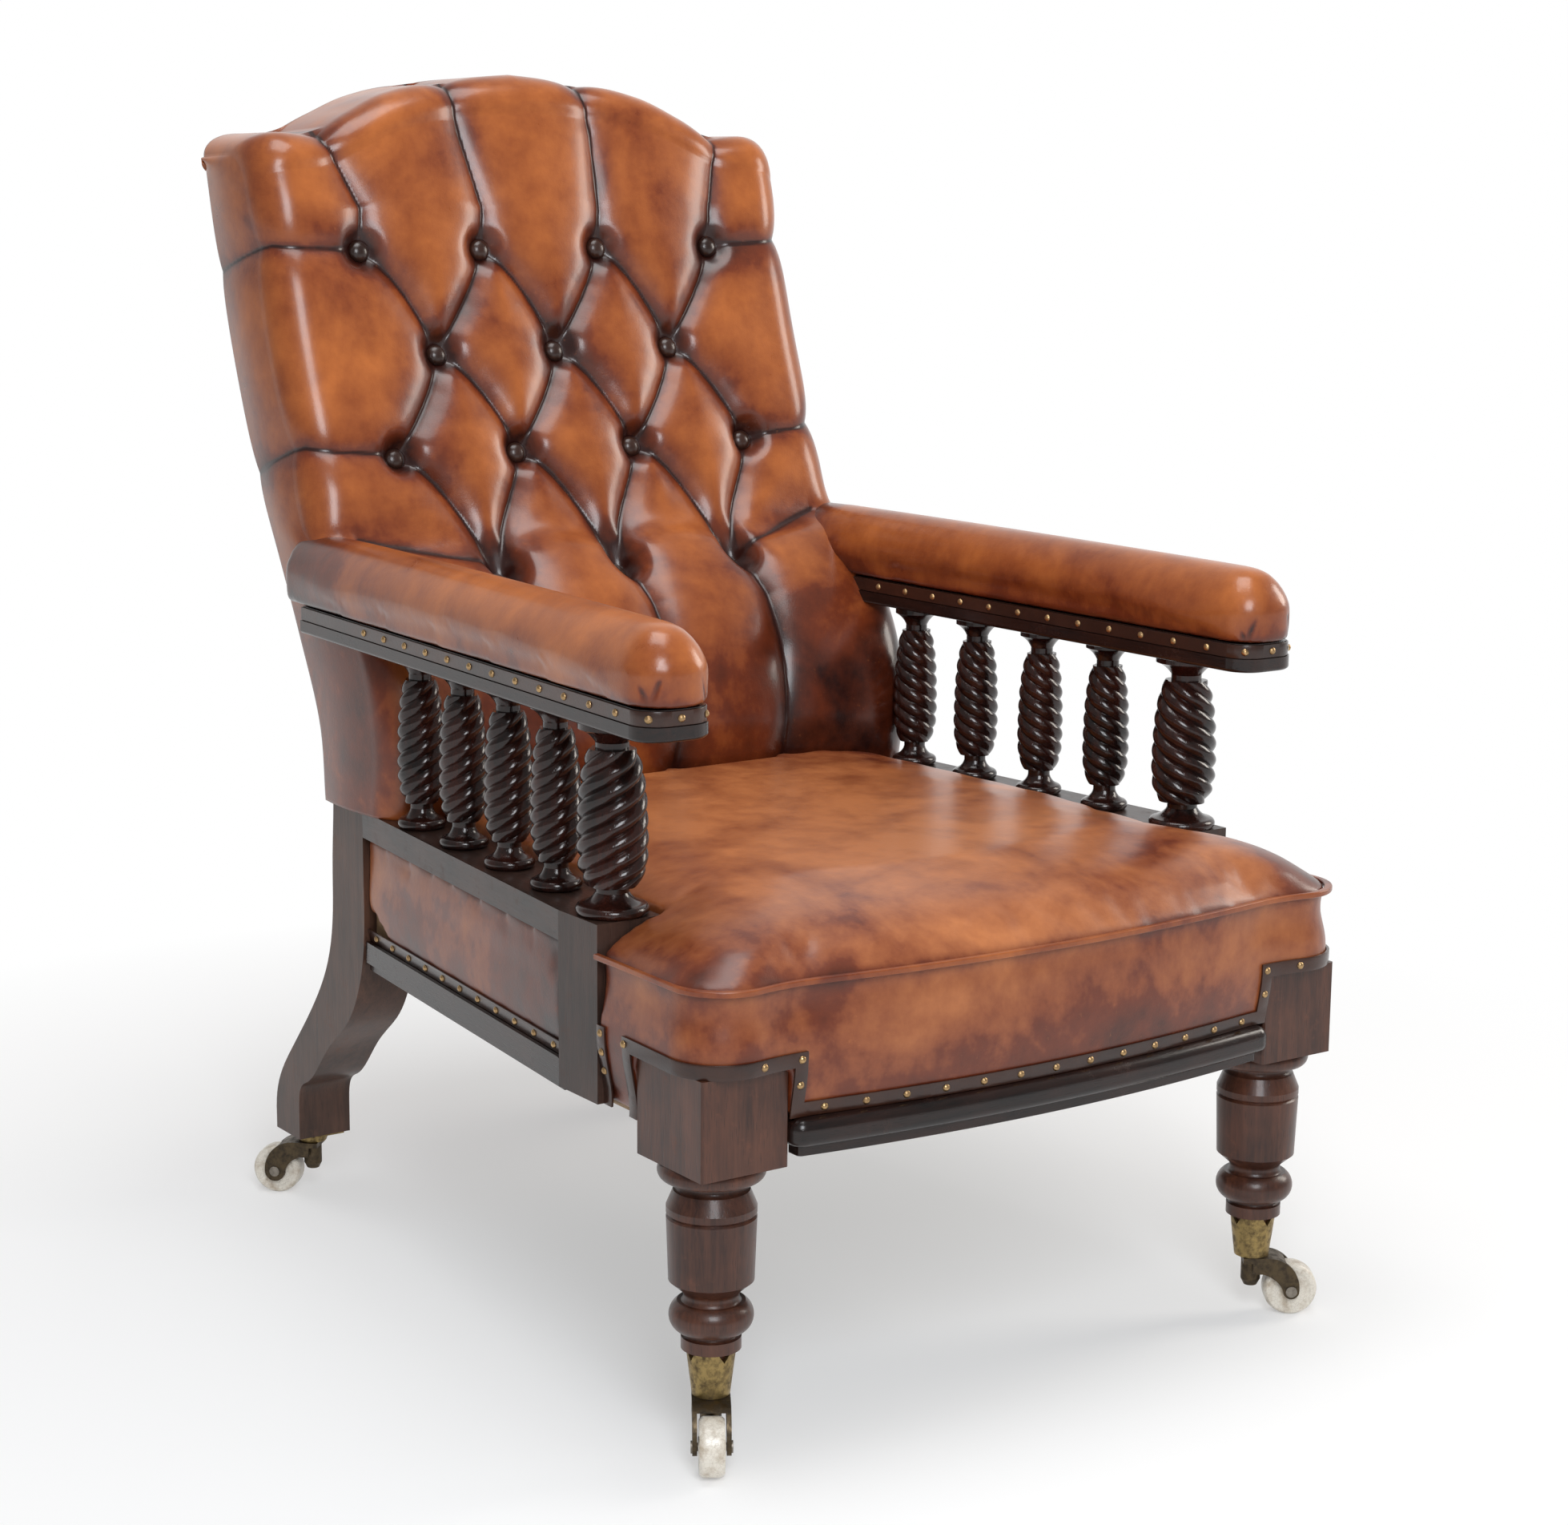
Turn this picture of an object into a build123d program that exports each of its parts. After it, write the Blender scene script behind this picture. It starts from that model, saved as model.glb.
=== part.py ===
from build123d import *
import math
import os

os.makedirs("parts", exist_ok=True)

# Library armchair. X runs across the chair, -Y is the front, +Z is up, millimetres.
# Depths are measured backwards from the front face of the front leg blocks.
# Left and right are the sitter's, so the sitter's left is +X.

# Overall sizes
overall_height = 1000
back_reach = 850
rail_bow = 26
frame_front_half = 306
frame_rear_half = 266
block_front = (rail_bow - back_reach) / 2
sides = {"right": -1, "left": 1}

# Clearances shared by all pieces
soft_gap = 0.3
cut_overrun = 5
running_gap = 0.06

# Front legs: a square block above a turned leg
block_width = 74
block_depth = 86
block_bottom = 227
block_top = 301
block_outer_half = 303
block_centre_x = block_outer_half - block_width / 2
leg_axis_y = block_front + block_depth / 2
collar_radius = 36.5
collar_height = 12
collar_swell = 3
hollow_radius = 28
hollow_height = 9
drum_radius = 33
drum_foot_radius = 31.3
drum_top = 194
drum_bottom = 138
drum_ring = 5
drum_groove = 1.6
waist_radius = 22
waist_height = 8
bulb_radius = 25
bulb_swell = 6
bulb_top = 122
bulb_bottom = 100
ankle_radius = 20.5
ankle_band = 5
block_edge = 1.5

# Castors
wheel_radius = 22
wheel_width = 20
wheel_tread_half = 4
wheel_shoulder = 2.5
wheel_tread_fall = 0.6
wheel_side_recess = 1.4
wheel_boss_radius = 7
wheel_rim_width = 5
castor_trail = 32
axle_radius = 3
axle_head_radius = 4.6
axle_head_height = 1.2
fork_side_gap = 0.7
fork_arm_thickness = 3.4
fork_top = 50
fork_plate_height = 4.5
fork_ear_radius = 6.5
rear_ear_radius = 9.3
fork_hub_radius = 8
fork_hub_tip_radius = 5.5
fork_hub_bottom = 24
fork_tip_height = 5
fork_heel_hollow = 2
pintle_radius = 5
pintle_height = 22
pintle_end_gap = 0.5
cup_top = 86
cup_top_radius = 18.4
cup_foot_radius = 14
cup_wall = 1.8
cup_floor = 24
cup_lip = 2.5
cup_notch_depth = 8
cup_notch_width = 14
cup_notches = 4
rear_cup_height = 8
rear_cup_radius = 15
rear_plate_thickness = 2.5
rear_plate_width = 42
rear_plate_depth = 38
rear_boss_foot_radius = 12.5
rear_pintle_height = 9.5
rear_foot_middle_share = 0.87
castor_headings = {
    "front_right": -122,
    "front_left": -35,
    "rear_right": 136,
    "rear_left": 62,
}

# Rear legs and stiles, each sawn from one plank
stile_width = 50
stile_front_depth = 578
stile_front = block_front + stile_front_depth
rail_top = 386
leg_rake = 179
back_rake = back_reach - stile_front_depth
back_height = overall_height - rail_top
rear_foot = fork_top + rear_cup_height + rear_plate_thickness
rear_foot_depth = 158
rear_axis_y = stile_front + rear_foot_depth
rear_axis_x = frame_rear_half - stile_width / 2
leather_thickness = 3.6

# Leg outline, as shares of leg_rake backwards and of rail_top upwards
leg_rear_shares = (
    (1.0, 0.19), (0.97, 0.27), (0.82, 0.365), (0.54, 0.512), (0.39, 0.622), (0.33, 0.73),
    (0.32, 0.86),
)
leg_front_shares = (
    (0.0, 0.842), (0.006, 0.7), (0.061, 0.598), (0.184, 0.503), (0.413, 0.412),
    (0.642, 0.308), (0.743, 0.235),
)

# Back outlines, as shares of back_rake backwards and of back_height above the rails
back_rear_shares = (
    (0.21, 0.0), (0.24, 0.107), (0.368, 0.2215), (0.507, 0.329), (0.651, 0.4365), (0.787, 0.58),
    (0.901, 0.728), (0.967, 0.84),
)
back_front_shares = (
    (-0.222, 0.0), (-0.250, 0.09), (-0.2, 0.185), (-0.09, 0.262), (0.075, 0.335),
    (0.205, 0.376), (0.3125, 0.495), (0.4375, 0.637), (0.55, 0.82),
)
stile_thickness = 50
stile_top_share = 0.845

# Seat rails
rail_thickness = 32
seat_rail_bottom = 251
seat_rail_top = block_top
front_rail_setback = 12
front_rail_thickness = 40
side_rail_recess = 12
rear_rail_thickness = 30
rear_rail_setback = 24
lower_rail_setback = 12
lower_rail_height = 50
post_setback = 134
post_depth = 55
post_width = 55.5
post_front = block_front + post_setback
post_rear = post_front + post_depth
spindle_rail_height = 23
spindle_rail_bottom = rail_top - spindle_rail_height
moulding_bottom = 233
moulding_top = 262
moulding_end_setback = 9
moulding_end_round = 12
thumb_round = 9.5
thumb_under_round = 6
side_moulding_bottom = 247
side_moulding_top = 272
side_moulding_stand = 1.5
reed_share = 0.28

# Arms
arm_underside = 530
arm_bead_height = 11
arm_bead_round = 2.75
arm_core_height = 12
arm_core_inset = 2.6
arm_front_depth = 60
arm_front = block_front + arm_front_depth
arm_front_x = 281
arm_rear_x = 258
arm_half_width = 31
arm_corner = 22
pad_height = 57
pad_swell = 2.5
pad_corner = 31
pad_crown = 28
pad_foot = 4
gimp_thickness = 1.6

# Spindles
spindle_front_depth = 158
spindle_rear_depth = 494.4
spindle_shares = (0.272, 0.512, 0.758, 1.0)
spindle_front_x = 278
spindle_rear_x = 254
tenon_radius = 8
tenon_length = 14
spindle_foot_share = 0.117
spindle_head_share = 0.107
spindle_neck_share = 0.034
twist_sections = 33
twist_groove_share = 0.14
large_ring_radius = 27.5
large_head_radius = 25.5
large_neck_radius = 12.5
large_body_radius = 26.8
body_radius_shares = (0.66, 0.82, 0.9, 0.95, 0.975, 0.99, 1.0, 0.99, 0.94, 0.72)
turning_bulge_share = 0.17
head_flare_share = 0.33
ring_round = 3.4
large_lead = 69
large_starts = 5
small_ring_radius = 20
small_head_radius = 19
small_neck_radius = 9.5
small_body_radius = 19.8
small_lead = 50
small_starts = 4

# Seat cushion
seat_corner_half = 307
apron_swell = 5
apron_middle_share = 0.33
piping_height = 363
piping_radius = 2.3
seat_crown = 38
seat_crown_setback = 4
seat_bow_half = 205
seat_bow_end = 6
seat_corner_run = 40
seat_wing_half = 258
seat_wing_reach = 7
panel_recess = 4
crown_shares = ((0, 0), (0.07, 0.36), (0.17, 0.64), (0.34, 0.86), (0.56, 1.0))
crown_run = 230
spring_radius = 32
spring_wire = 2
spring_turns = 4
spring_count = 3
spring_spacing_x = 118
spring_spacing_y = 120
spring_row_centre = 305
spring_top = 334
spring_room = 48
web_width = 50
web_thickness = 2
cover_thickness = 1
web_inset = 6

# Tufting of the back
button_pitch = 121
row_top = 850
row_pitch = 85.3
row_counts = (4, 3, 4, 3)
button_radius = 10
button_height = 6
button_foot = 2
dimple_radius = 27
dimple_depth = 21
dimple_run = 30
pleat_half = 6
pleat_depth = 5
pleat_reach = 40
tuft_slope = 18.4
back_edge_half = 271.5
back_edge_round = 27
back_edge_drop = 22
front_round = 32
top_fall = 2
# Stations across the back: share of its half width, of the edge's rounding and of its drop
back_station_shares = (
    (0.0, -0.148, 0), (0.277, -0.111, 0), (0.48, -0.074, 0), (0.628, -0.037, 0), (0.757, 0, 0),
    (0.87, 0.111, 0.02), (0.935, 0.296, 0.14), (0.98, 0.593, 0.44), (1.0, 1.0, 1.0),
)
arm_notch_gap = 0.4
fan_share = 0.14

# Nails
nail_radius = 3.0
nail_height = 2.0
nail_pitch = 33.5
arm_nail_pitch = 38
nail_clearance = 0.2
post_nail_count = 3
gimp_height = 11

# Crest outline: shares of the half width, and of how far the arch rises above the shoulders
arch_rise = 51
shoulder_drop = 18
crest_cover = 10
crest_stations = (
    (0.0, 1.0), (0.277, 0.9), (0.48, 0.65), (0.628, 0.33), (0.757, 0.07), (0.868, 0.0),
)


def save(piece, name):
    """Name a finished piece and write its own file."""
    piece.part.label = name
    export_step(piece.part, f"parts/{name}.step")


def turned(stations):
    """Draw a turned outline from (radius, height, swell) stations."""
    for start, end in zip(stations, stations[1:]):
        if end[2]:
            middle = ((start[0] + end[0]) / 2 + end[2], (start[1] + end[1]) / 2)
            ThreePointArc(start[:2], middle, end[:2])
        else:
            Line(start[:2], end[:2])


def cut_box(low, high, mode=Mode.SUBTRACT):
    """Take a box, given by its two corners, out of the piece being made."""
    middle = [(start + end) / 2 for start, end in zip(low, high)]
    with Locations(tuple(middle)):
        Box(high[0] - low[0], high[1] - low[1], high[2] - low[2], mode=mode)


def frame_edge(y):
    """Outer face of the side rails, which draw in towards the back."""
    share = (y - post_rear) / (stile_front - post_rear)
    return frame_front_half + share * (frame_rear_half - frame_front_half)


spindle_run = spindle_rear_depth - spindle_front_depth
spindle_places = [(spindle_front_x, block_front + spindle_front_depth)]
for spindle_share in spindle_shares:
    spindle_places.append((
        spindle_front_x + spindle_share * (spindle_rear_x - spindle_front_x),
        block_front + spindle_front_depth + spindle_share * spindle_run,
    ))


def arm_centre(y):
    """Centre line of the armrest, which also draws in towards the back."""
    share = (y - arm_front) / (stile_front - arm_front)
    return arm_front_x + share * (arm_rear_x - arm_front_x)


def leg_point(shares):
    return (stile_front + shares[0] * leg_rake, shares[1] * rail_top)


def back_point(shares):
    return (stile_front + shares[0] * back_rake, rail_top + shares[1] * back_height)


def shifted(points, distance):
    return [(y + distance, z) for y, z in points]


def crest_height(share):
    """Height of the arch above the shoulders at a share of the half width."""
    for inner, outer in zip(crest_stations, crest_stations[1:]):
        if share <= outer[0]:
            part = (share - inner[0]) / (outer[0] - inner[0])
            return arch_rise * (inner[1] + part * (outer[1] - inner[1]))
    return 0.0


# Outlines of the back shared by the stiles, the upholstery and the outside back
rear_line = [back_point(shares) for shares in back_rear_shares]
front_line = [back_point(shares) for shares in back_front_shares]
shoulder_height = overall_height - arch_rise
stile_rear_line = shifted(rear_line, -leather_thickness)
stile_front_line = shifted(rear_line, -leather_thickness - stile_thickness)
stile_front_line[0] = (stile_front, rail_top)
stile_top = rail_top + stile_top_share * back_height

# Front legs
leg_outline = (
    (collar_radius, block_bottom, 0),
    (collar_radius, block_bottom - collar_height, collar_swell),
    (hollow_radius, block_bottom - collar_height, 0),
    (hollow_radius, block_bottom - collar_height - hollow_height, -collar_swell),
    (drum_radius, drum_top, 0),
    (drum_radius, drum_top - drum_ring, 0),
    (drum_radius - drum_groove, drum_top - drum_ring - drum_groove, 0),
    (drum_radius, drum_top - drum_ring - 2 * drum_groove, 0),
    (drum_foot_radius, drum_bottom, 0),
    (waist_radius, drum_bottom - waist_height, 0),
    (waist_radius, bulb_top, -drum_groove),
    (bulb_radius, bulb_top, 0),
    (bulb_radius, bulb_bottom, bulb_swell),
    (ankle_radius, bulb_bottom, 0),
    (ankle_radius, bulb_bottom - ankle_band, -drum_groove),
    (ankle_radius + drum_groove, bulb_bottom - ankle_band, 0),
    (ankle_radius + drum_groove, cup_top, 0),
    (cup_top_radius - cup_wall, cup_top, 0),
    (cup_foot_radius - cup_wall, fork_top + cup_floor, 0),
)
for side_name, side in sides.items():
    with BuildPart() as front_leg:
        with BuildSketch(Plane.XY.offset(block_bottom)):
            with Locations((side * block_centre_x, leg_axis_y)):
                Rectangle(block_width, block_depth)
        extrude(amount=block_top - block_bottom)
        chamfer(front_leg.edges().filter_by(Axis.Z), length=block_edge)
        leg_plane = Plane((side * block_centre_x, leg_axis_y, 0), x_dir=(1, 0, 0), z_dir=(0, -1, 0))
        with BuildSketch(leg_plane):
            with BuildLine():
                Line((0, block_bottom), (collar_radius, block_bottom))
                turned(leg_outline)
                Polyline(leg_outline[-1][:2], (0, leg_outline[-1][1]), (0, block_bottom))
            make_face()
        revolve(axis=Axis((side * block_centre_x, leg_axis_y, 0), (0, 0, 1)))
    save(front_leg, f"front_leg_{side_name}")

# Rear legs, each with its stile
rear_legs = {}
for side_name, side in sides.items():
    with BuildPart() as rear_leg:
        with BuildSketch(Plane.YZ.offset(side * rear_axis_x)):
            with BuildLine():
                foot_rear = (leg_point(leg_rear_shares[0])[0], rear_foot)
                foot_front = (leg_point(leg_front_shares[-1])[0], rear_foot)
                leg_rear = [leg_point(shares) for shares in leg_rear_shares]
                leg_front = [leg_point(shares) for shares in leg_front_shares]
                stile_rear_top = (stile_rear_line[-1][0], stile_top)
                stile_front_top = (stile_front_line[-1][0], stile_top)
                Line(foot_rear, leg_rear[0])
                Spline(*leg_rear, *stile_rear_line[:-1], stile_rear_top)
                Line(stile_rear_top, stile_front_top)
                Spline(stile_front_top, *stile_front_line[-2:0:-1], stile_front_line[0])
                Line(stile_front_line[0], leg_front[0])
                Spline(*leg_front, tangents=((0, -1), (0, -1)))
                Line(leg_front[-1], foot_front)
                Line(foot_front, foot_rear)
            make_face()
        extrude(amount=stile_width / 2, both=True)
    rear_legs[side_name] = rear_leg.part
    save(rear_leg, f"rear_leg_{side_name}")

# Crest rail and lower back rail, cut from the same curved band as the stiles
arch_points = [
    (share * frame_rear_half, shoulder_height + rise * arch_rise - crest_cover)
    for share, rise in crest_stations
]
arch_outer = (frame_rear_half, shoulder_height - shoulder_drop - crest_cover)
with BuildPart() as crest_rail:
    with BuildSketch(Plane.YZ):
        with BuildLine():
            Polyline(
                (stile_front_line[-1][0], stile_top),
                (stile_rear_line[-1][0], stile_top),
                (block_front + back_reach - leather_thickness, shoulder_height),
                (block_front + back_reach - leather_thickness, overall_height),
                (block_front + back_reach - leather_thickness - stile_thickness, overall_height),
                close=True,
            )
        make_face()
    extrude(amount=frame_rear_half, both=True)
    with BuildSketch(Plane.XZ):
        with BuildLine():
            mirrored = [(-x, z) for x, z in reversed(arch_points[1:])]
            Spline((-arch_outer[0], arch_outer[1]), *mirrored, *arch_points, arch_outer)
            Polyline(
                arch_outer, (frame_rear_half, stile_top), (-frame_rear_half, stile_top),
                (-arch_outer[0], arch_outer[1]),
            )
        make_face()
    extrude(amount=overall_height, both=True, mode=Mode.INTERSECT)
save(crest_rail, "crest_rail")

lower_rail_bottom = rail_top + lower_rail_setback
inner_half = frame_rear_half - stile_width
with BuildPart() as lower_back_rail:
    with BuildSketch(Plane.XY.offset(lower_rail_bottom)):
        with Locations((0, stile_front + lower_rail_setback + rail_thickness / 2)):
            Rectangle(2 * inner_half, rail_thickness)
    extrude(amount=lower_rail_height)
save(lower_back_rail, "lower_back_rail")

# Seat rails
front_rail_face = block_front + front_rail_setback
block_inner_half = block_outer_half - block_width
with BuildPart() as front_seat_rail:
    with BuildSketch(Plane.XY.offset(seat_rail_bottom)):
        with Locations((0, front_rail_face + front_rail_thickness / 2)):
            Rectangle(2 * block_inner_half, front_rail_thickness)
    extrude(amount=seat_rail_top - seat_rail_bottom)
save(front_seat_rail, "front_seat_rail")

rear_rail_front = stile_front + rear_rail_setback
with BuildPart() as rear_seat_rail:
    with BuildSketch(Plane.XY.offset(seat_rail_bottom)):
        with Locations((0, rear_rail_front + rear_rail_thickness / 2)):
            Rectangle(2 * inner_half, rear_rail_thickness)
    extrude(amount=seat_rail_top - seat_rail_bottom)
save(rear_seat_rail, "rear_seat_rail")

block_rear = block_front + block_depth
for side_name, side in sides.items():
    with BuildPart() as side_seat_rail:
        with BuildSketch(Plane.XY.offset(seat_rail_bottom)):
            with BuildLine():
                front_outer = frame_edge(post_rear) - side_rail_recess
                rail_end = stile_front + cut_overrun
                rear_outer = frame_edge(rail_end) - side_rail_recess
                Polyline(
                    (side * front_outer, block_rear),
                    (side * front_outer, post_rear),
                    (side * rear_outer, rail_end),
                    (side * (rear_outer - rail_thickness), rail_end),
                    (side * (front_outer - rail_thickness), post_rear),
                    (side * (front_outer - rail_thickness), block_rear),
                    close=True,
                )
            make_face()
        extrude(amount=seat_rail_top - seat_rail_bottom)
        add(rear_legs[side_name], mode=Mode.SUBTRACT)
    save(side_seat_rail, f"side_seat_rail_{side_name}")

    with BuildPart() as arm_post:
        with BuildSketch(Plane.XY.offset(seat_rail_top)):
            with Locations((side * (frame_front_half - post_width / 2), post_front + post_depth / 2)):
                Rectangle(post_width, post_depth)
        extrude(amount=rail_top - seat_rail_top)
        with BuildSketch(Plane.XY.offset(seat_rail_bottom)):
            lap_centre = side * (frame_front_half - side_rail_recess / 2)
            with Locations((lap_centre, post_front + post_depth / 2)):
                Rectangle(side_rail_recess, post_depth)
        extrude(amount=seat_rail_top - seat_rail_bottom)
        with Locations((side * spindle_places[0][0], spindle_places[0][1], rail_top)):
            Hole(radius=tenon_radius, depth=tenon_length + soft_gap)
    save(arm_post, f"arm_post_{side_name}")

    with BuildPart() as spindle_rail:
        with BuildSketch(Plane.XY.offset(spindle_rail_bottom)):
            with BuildLine():
                Polyline(
                    (side * frame_edge(post_rear), post_rear),
                    (side * frame_edge(stile_front), stile_front),
                    (side * (frame_edge(stile_front) - stile_width), stile_front),
                    (side * (frame_edge(post_rear) - post_width), post_rear),
                    close=True,
                )
            make_face()
        extrude(amount=spindle_rail_height)
        for x, y in spindle_places[1:]:
            with Locations((side * x, y, rail_top)):
                Hole(radius=tenon_radius, depth=tenon_length + soft_gap)
    save(spindle_rail, f"spindle_rail_{side_name}")

# Mouldings planted on the front and side rails: a thumb over two reeds
moulding_height = moulding_top - moulding_bottom
bow_front = block_front - rail_bow
bow_end = block_front - moulding_end_setback
with BuildPart() as front_rail_moulding:
    reed_height = moulding_height * reed_share
    for level, stand in ((0, reed_height), (1, 0)):
        low = moulding_bottom + level * reed_height
        high = moulding_bottom + reed_height if level == 0 else moulding_top
        half = block_inner_half - stand
        with BuildSketch(Plane.XY.offset(low)) as moulding_plan:
            with BuildLine():
                ThreePointArc(
                    (-half, bow_end + stand), (0, bow_front + stand), (half, bow_end + stand)
                )
                Polyline(
                    (half, bow_end + stand), (half, front_rail_face), (-half, front_rail_face),
                    (-half, bow_end + stand),
                )
            make_face()
            front_ends = moulding_plan.vertices().sort_by(Axis.Y)[:2]
            fillet(front_ends, radius=moulding_end_round - stand)
        extrude(amount=high - low)
    thumb_edges = front_rail_moulding.edges().filter_by(GeomType.CIRCLE).group_by(Axis.Z)
    fillet(thumb_edges[-1], radius=thumb_round)
    under_edges = front_rail_moulding.edges().filter_by(GeomType.CIRCLE).group_by(Axis.Z)[1]
    fillet(under_edges.sort_by(SortBy.LENGTH)[-1:], radius=thumb_under_round)
save(front_rail_moulding, "front_rail_moulding")

side_moulding_height = side_moulding_top - side_moulding_bottom
for side_name, side in sides.items():
    with BuildPart() as side_rail_moulding:
        reed_height = side_moulding_height * reed_share
        for level, stand in ((0, reed_height / 2), (1, 0)):
            low = side_moulding_bottom + level * reed_height
            high = side_moulding_bottom + reed_height if level == 0 else side_moulding_top
            with BuildSketch(Plane.XY.offset(low)):
                with BuildLine():
                    Polyline(
                        (side * (frame_edge(post_rear) - side_moulding_stand - stand), post_rear),
                        (side * (frame_edge(stile_front) - side_moulding_stand - stand), stile_front),
                        (side * (frame_edge(stile_front) - side_rail_recess), stile_front),
                        (side * (frame_edge(post_rear) - side_rail_recess), post_rear),
                        close=True,
                    )
                make_face()
            extrude(amount=high - low)
        outer_faces = side_rail_moulding.faces().sort_by(Axis.X)
        outer_face = outer_faces[0] if side < 0 else outer_faces[-1]
        fillet(outer_face.edges().sort_by(Axis.Z)[-1], radius=side_rail_recess / 2)
    save(side_rail_moulding, f"side_rail_moulding_{side_name}")


# Armrests: a wooden rail with a beaded lower edge, gimp round its core, and a stuffed pad
def arm_outline(side, inset, corner, rear_y):
    """Plan of an armrest: straight sides drawing in to the back, rounded front corners."""
    front = arm_front + inset
    reach = arm_half_width - inset
    inner_front = (side * (arm_centre(front) - reach), front)
    outer_front = (side * (arm_centre(front) + reach), front)
    outer_rear = (side * (arm_centre(rear_y) + reach), rear_y)
    inner_rear = (side * (arm_centre(rear_y) - reach), rear_y)
    Polyline(inner_rear, inner_front, outer_front, outer_rear, close=True)
    return corner


arm_core_bottom = arm_underside + arm_bead_height
arm_core_top = arm_core_bottom + arm_core_height


def front_corners(sketch):
    return sketch.vertices().group_by(Axis.Y)[0]


def stile_face_y(height):
    """Depth of the stile's front face at a height, for pieces that butt against it."""
    for low, high in zip(stile_front_line, stile_front_line[1:]):
        if low[1] <= height <= high[1]:
            share = (height - low[1]) / (high[1] - low[1])
            return low[0] + share * (high[0] - low[0])
    return stile_front_line[-1][0]


arm_rail_rear = stile_face_y(arm_core_top) + cut_overrun
pad_rear = stile_face_y(arm_core_top + pad_height)
arm_gimps = {}
for side_name, side in sides.items():
    with BuildPart() as armrest_rail:
        with BuildSketch(Plane.XY.offset(arm_underside)) as bead_plan:
            with BuildLine():
                arm_outline(side, 0, arm_corner, arm_rail_rear)
            make_face()
            fillet(front_corners(bead_plan), radius=arm_corner)
        extrude(amount=arm_bead_height)
        bead_edges = armrest_rail.edges().group_by(Axis.Z)
        fillet(bead_edges[0].filter_by(GeomType.LINE).sort_by(Axis.Y)[:3], radius=arm_bead_round)
        with BuildSketch(Plane.XY.offset(arm_core_bottom)) as core_plan:
            with BuildLine():
                arm_outline(side, arm_core_inset, arm_corner, arm_rail_rear)
            make_face()
            fillet(front_corners(core_plan), radius=arm_corner - arm_core_inset)
        extrude(amount=arm_core_height)
        with Locations(Plane.XY.offset(arm_underside)):
            with Locations(*[(side * x, y) for x, y in spindle_places]):
                Cylinder(
                    tenon_radius, tenon_length + soft_gap,
                    align=(Align.CENTER, Align.CENTER, Align.MIN), mode=Mode.SUBTRACT,
                )
        add(rear_legs[side_name], mode=Mode.SUBTRACT)
    save(armrest_rail, f"armrest_rail_{side_name}")

    with BuildPart() as arm_gimp:
        with BuildSketch(Plane.XY.offset(arm_core_bottom + soft_gap)) as gimp_plan:
            with BuildLine():
                arm_outline(side, arm_core_inset - gimp_thickness, arm_corner, arm_rail_rear)
            make_face()
            fillet(front_corners(gimp_plan), radius=arm_corner - arm_core_inset + gimp_thickness)
        extrude(amount=gimp_height)
        with BuildSketch(Plane.XY.offset(arm_core_bottom)) as gimp_hollow:
            with BuildLine():
                arm_outline(side, arm_core_inset - soft_gap / 2, arm_corner, arm_rail_rear + cut_overrun)
            make_face()
            fillet(front_corners(gimp_hollow), radius=arm_corner - arm_core_inset)
        extrude(amount=arm_core_height + cut_overrun, mode=Mode.SUBTRACT)
        add(rear_legs[side_name], mode=Mode.SUBTRACT)
    arm_gimps[side_name] = arm_gimp
    save(arm_gimp, f"arm_gimp_{side_name}")

    with BuildPart() as arm_pad:
        with BuildSketch(Plane.XY.offset(arm_core_top + soft_gap)) as pad_plan:
            with BuildLine():
                arm_outline(side, -pad_swell, pad_corner, pad_rear)
            make_face()
            fillet(front_corners(pad_plan), radius=pad_corner)
        extrude(amount=pad_height)
        pad_top_edges = arm_pad.edges().group_by(Axis.Z)[-1].sort_by(Axis.Y)[:-1]
        fillet(pad_top_edges, radius=pad_crown)
        pad_low_edges = arm_pad.edges().group_by(Axis.Z)[0].sort_by(Axis.Y)[:-1]
        fillet(pad_low_edges, radius=pad_foot)
        add(rear_legs[side_name].moved(Location((0, -soft_gap, 0))), mode=Mode.SUBTRACT)
    save(arm_pad, f"arm_pad_{side_name}")


# Spindles: a twisted body of rounded ridges between a turned head and foot
def ridge_section(ridge_radius, starts, angle):
    """One cross-section of the twisted body: an arc for each ridge."""
    valley_radius = ridge_radius * (1 - twist_groove_share)
    half_step = 180 / starts
    for ridge in range(starts):
        middle = angle + ridge * 360 / starts
        ThreePointArc(
            polar(valley_radius, middle - half_step),
            polar(ridge_radius, middle),
            polar(valley_radius, middle + half_step),
        )


def polar(radius, angle):
    turn = math.radians(angle)
    return (radius * math.cos(turn), radius * math.sin(turn))


def body_swell(share):
    """Share of the full body radius at a share of the way down a spindle's body."""
    place = share * (len(body_radius_shares) - 1)
    index = min(int(place), len(body_radius_shares) - 2)
    low, high = body_radius_shares[index:index + 2]
    return low + (place - index) * (high - low)


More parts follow.
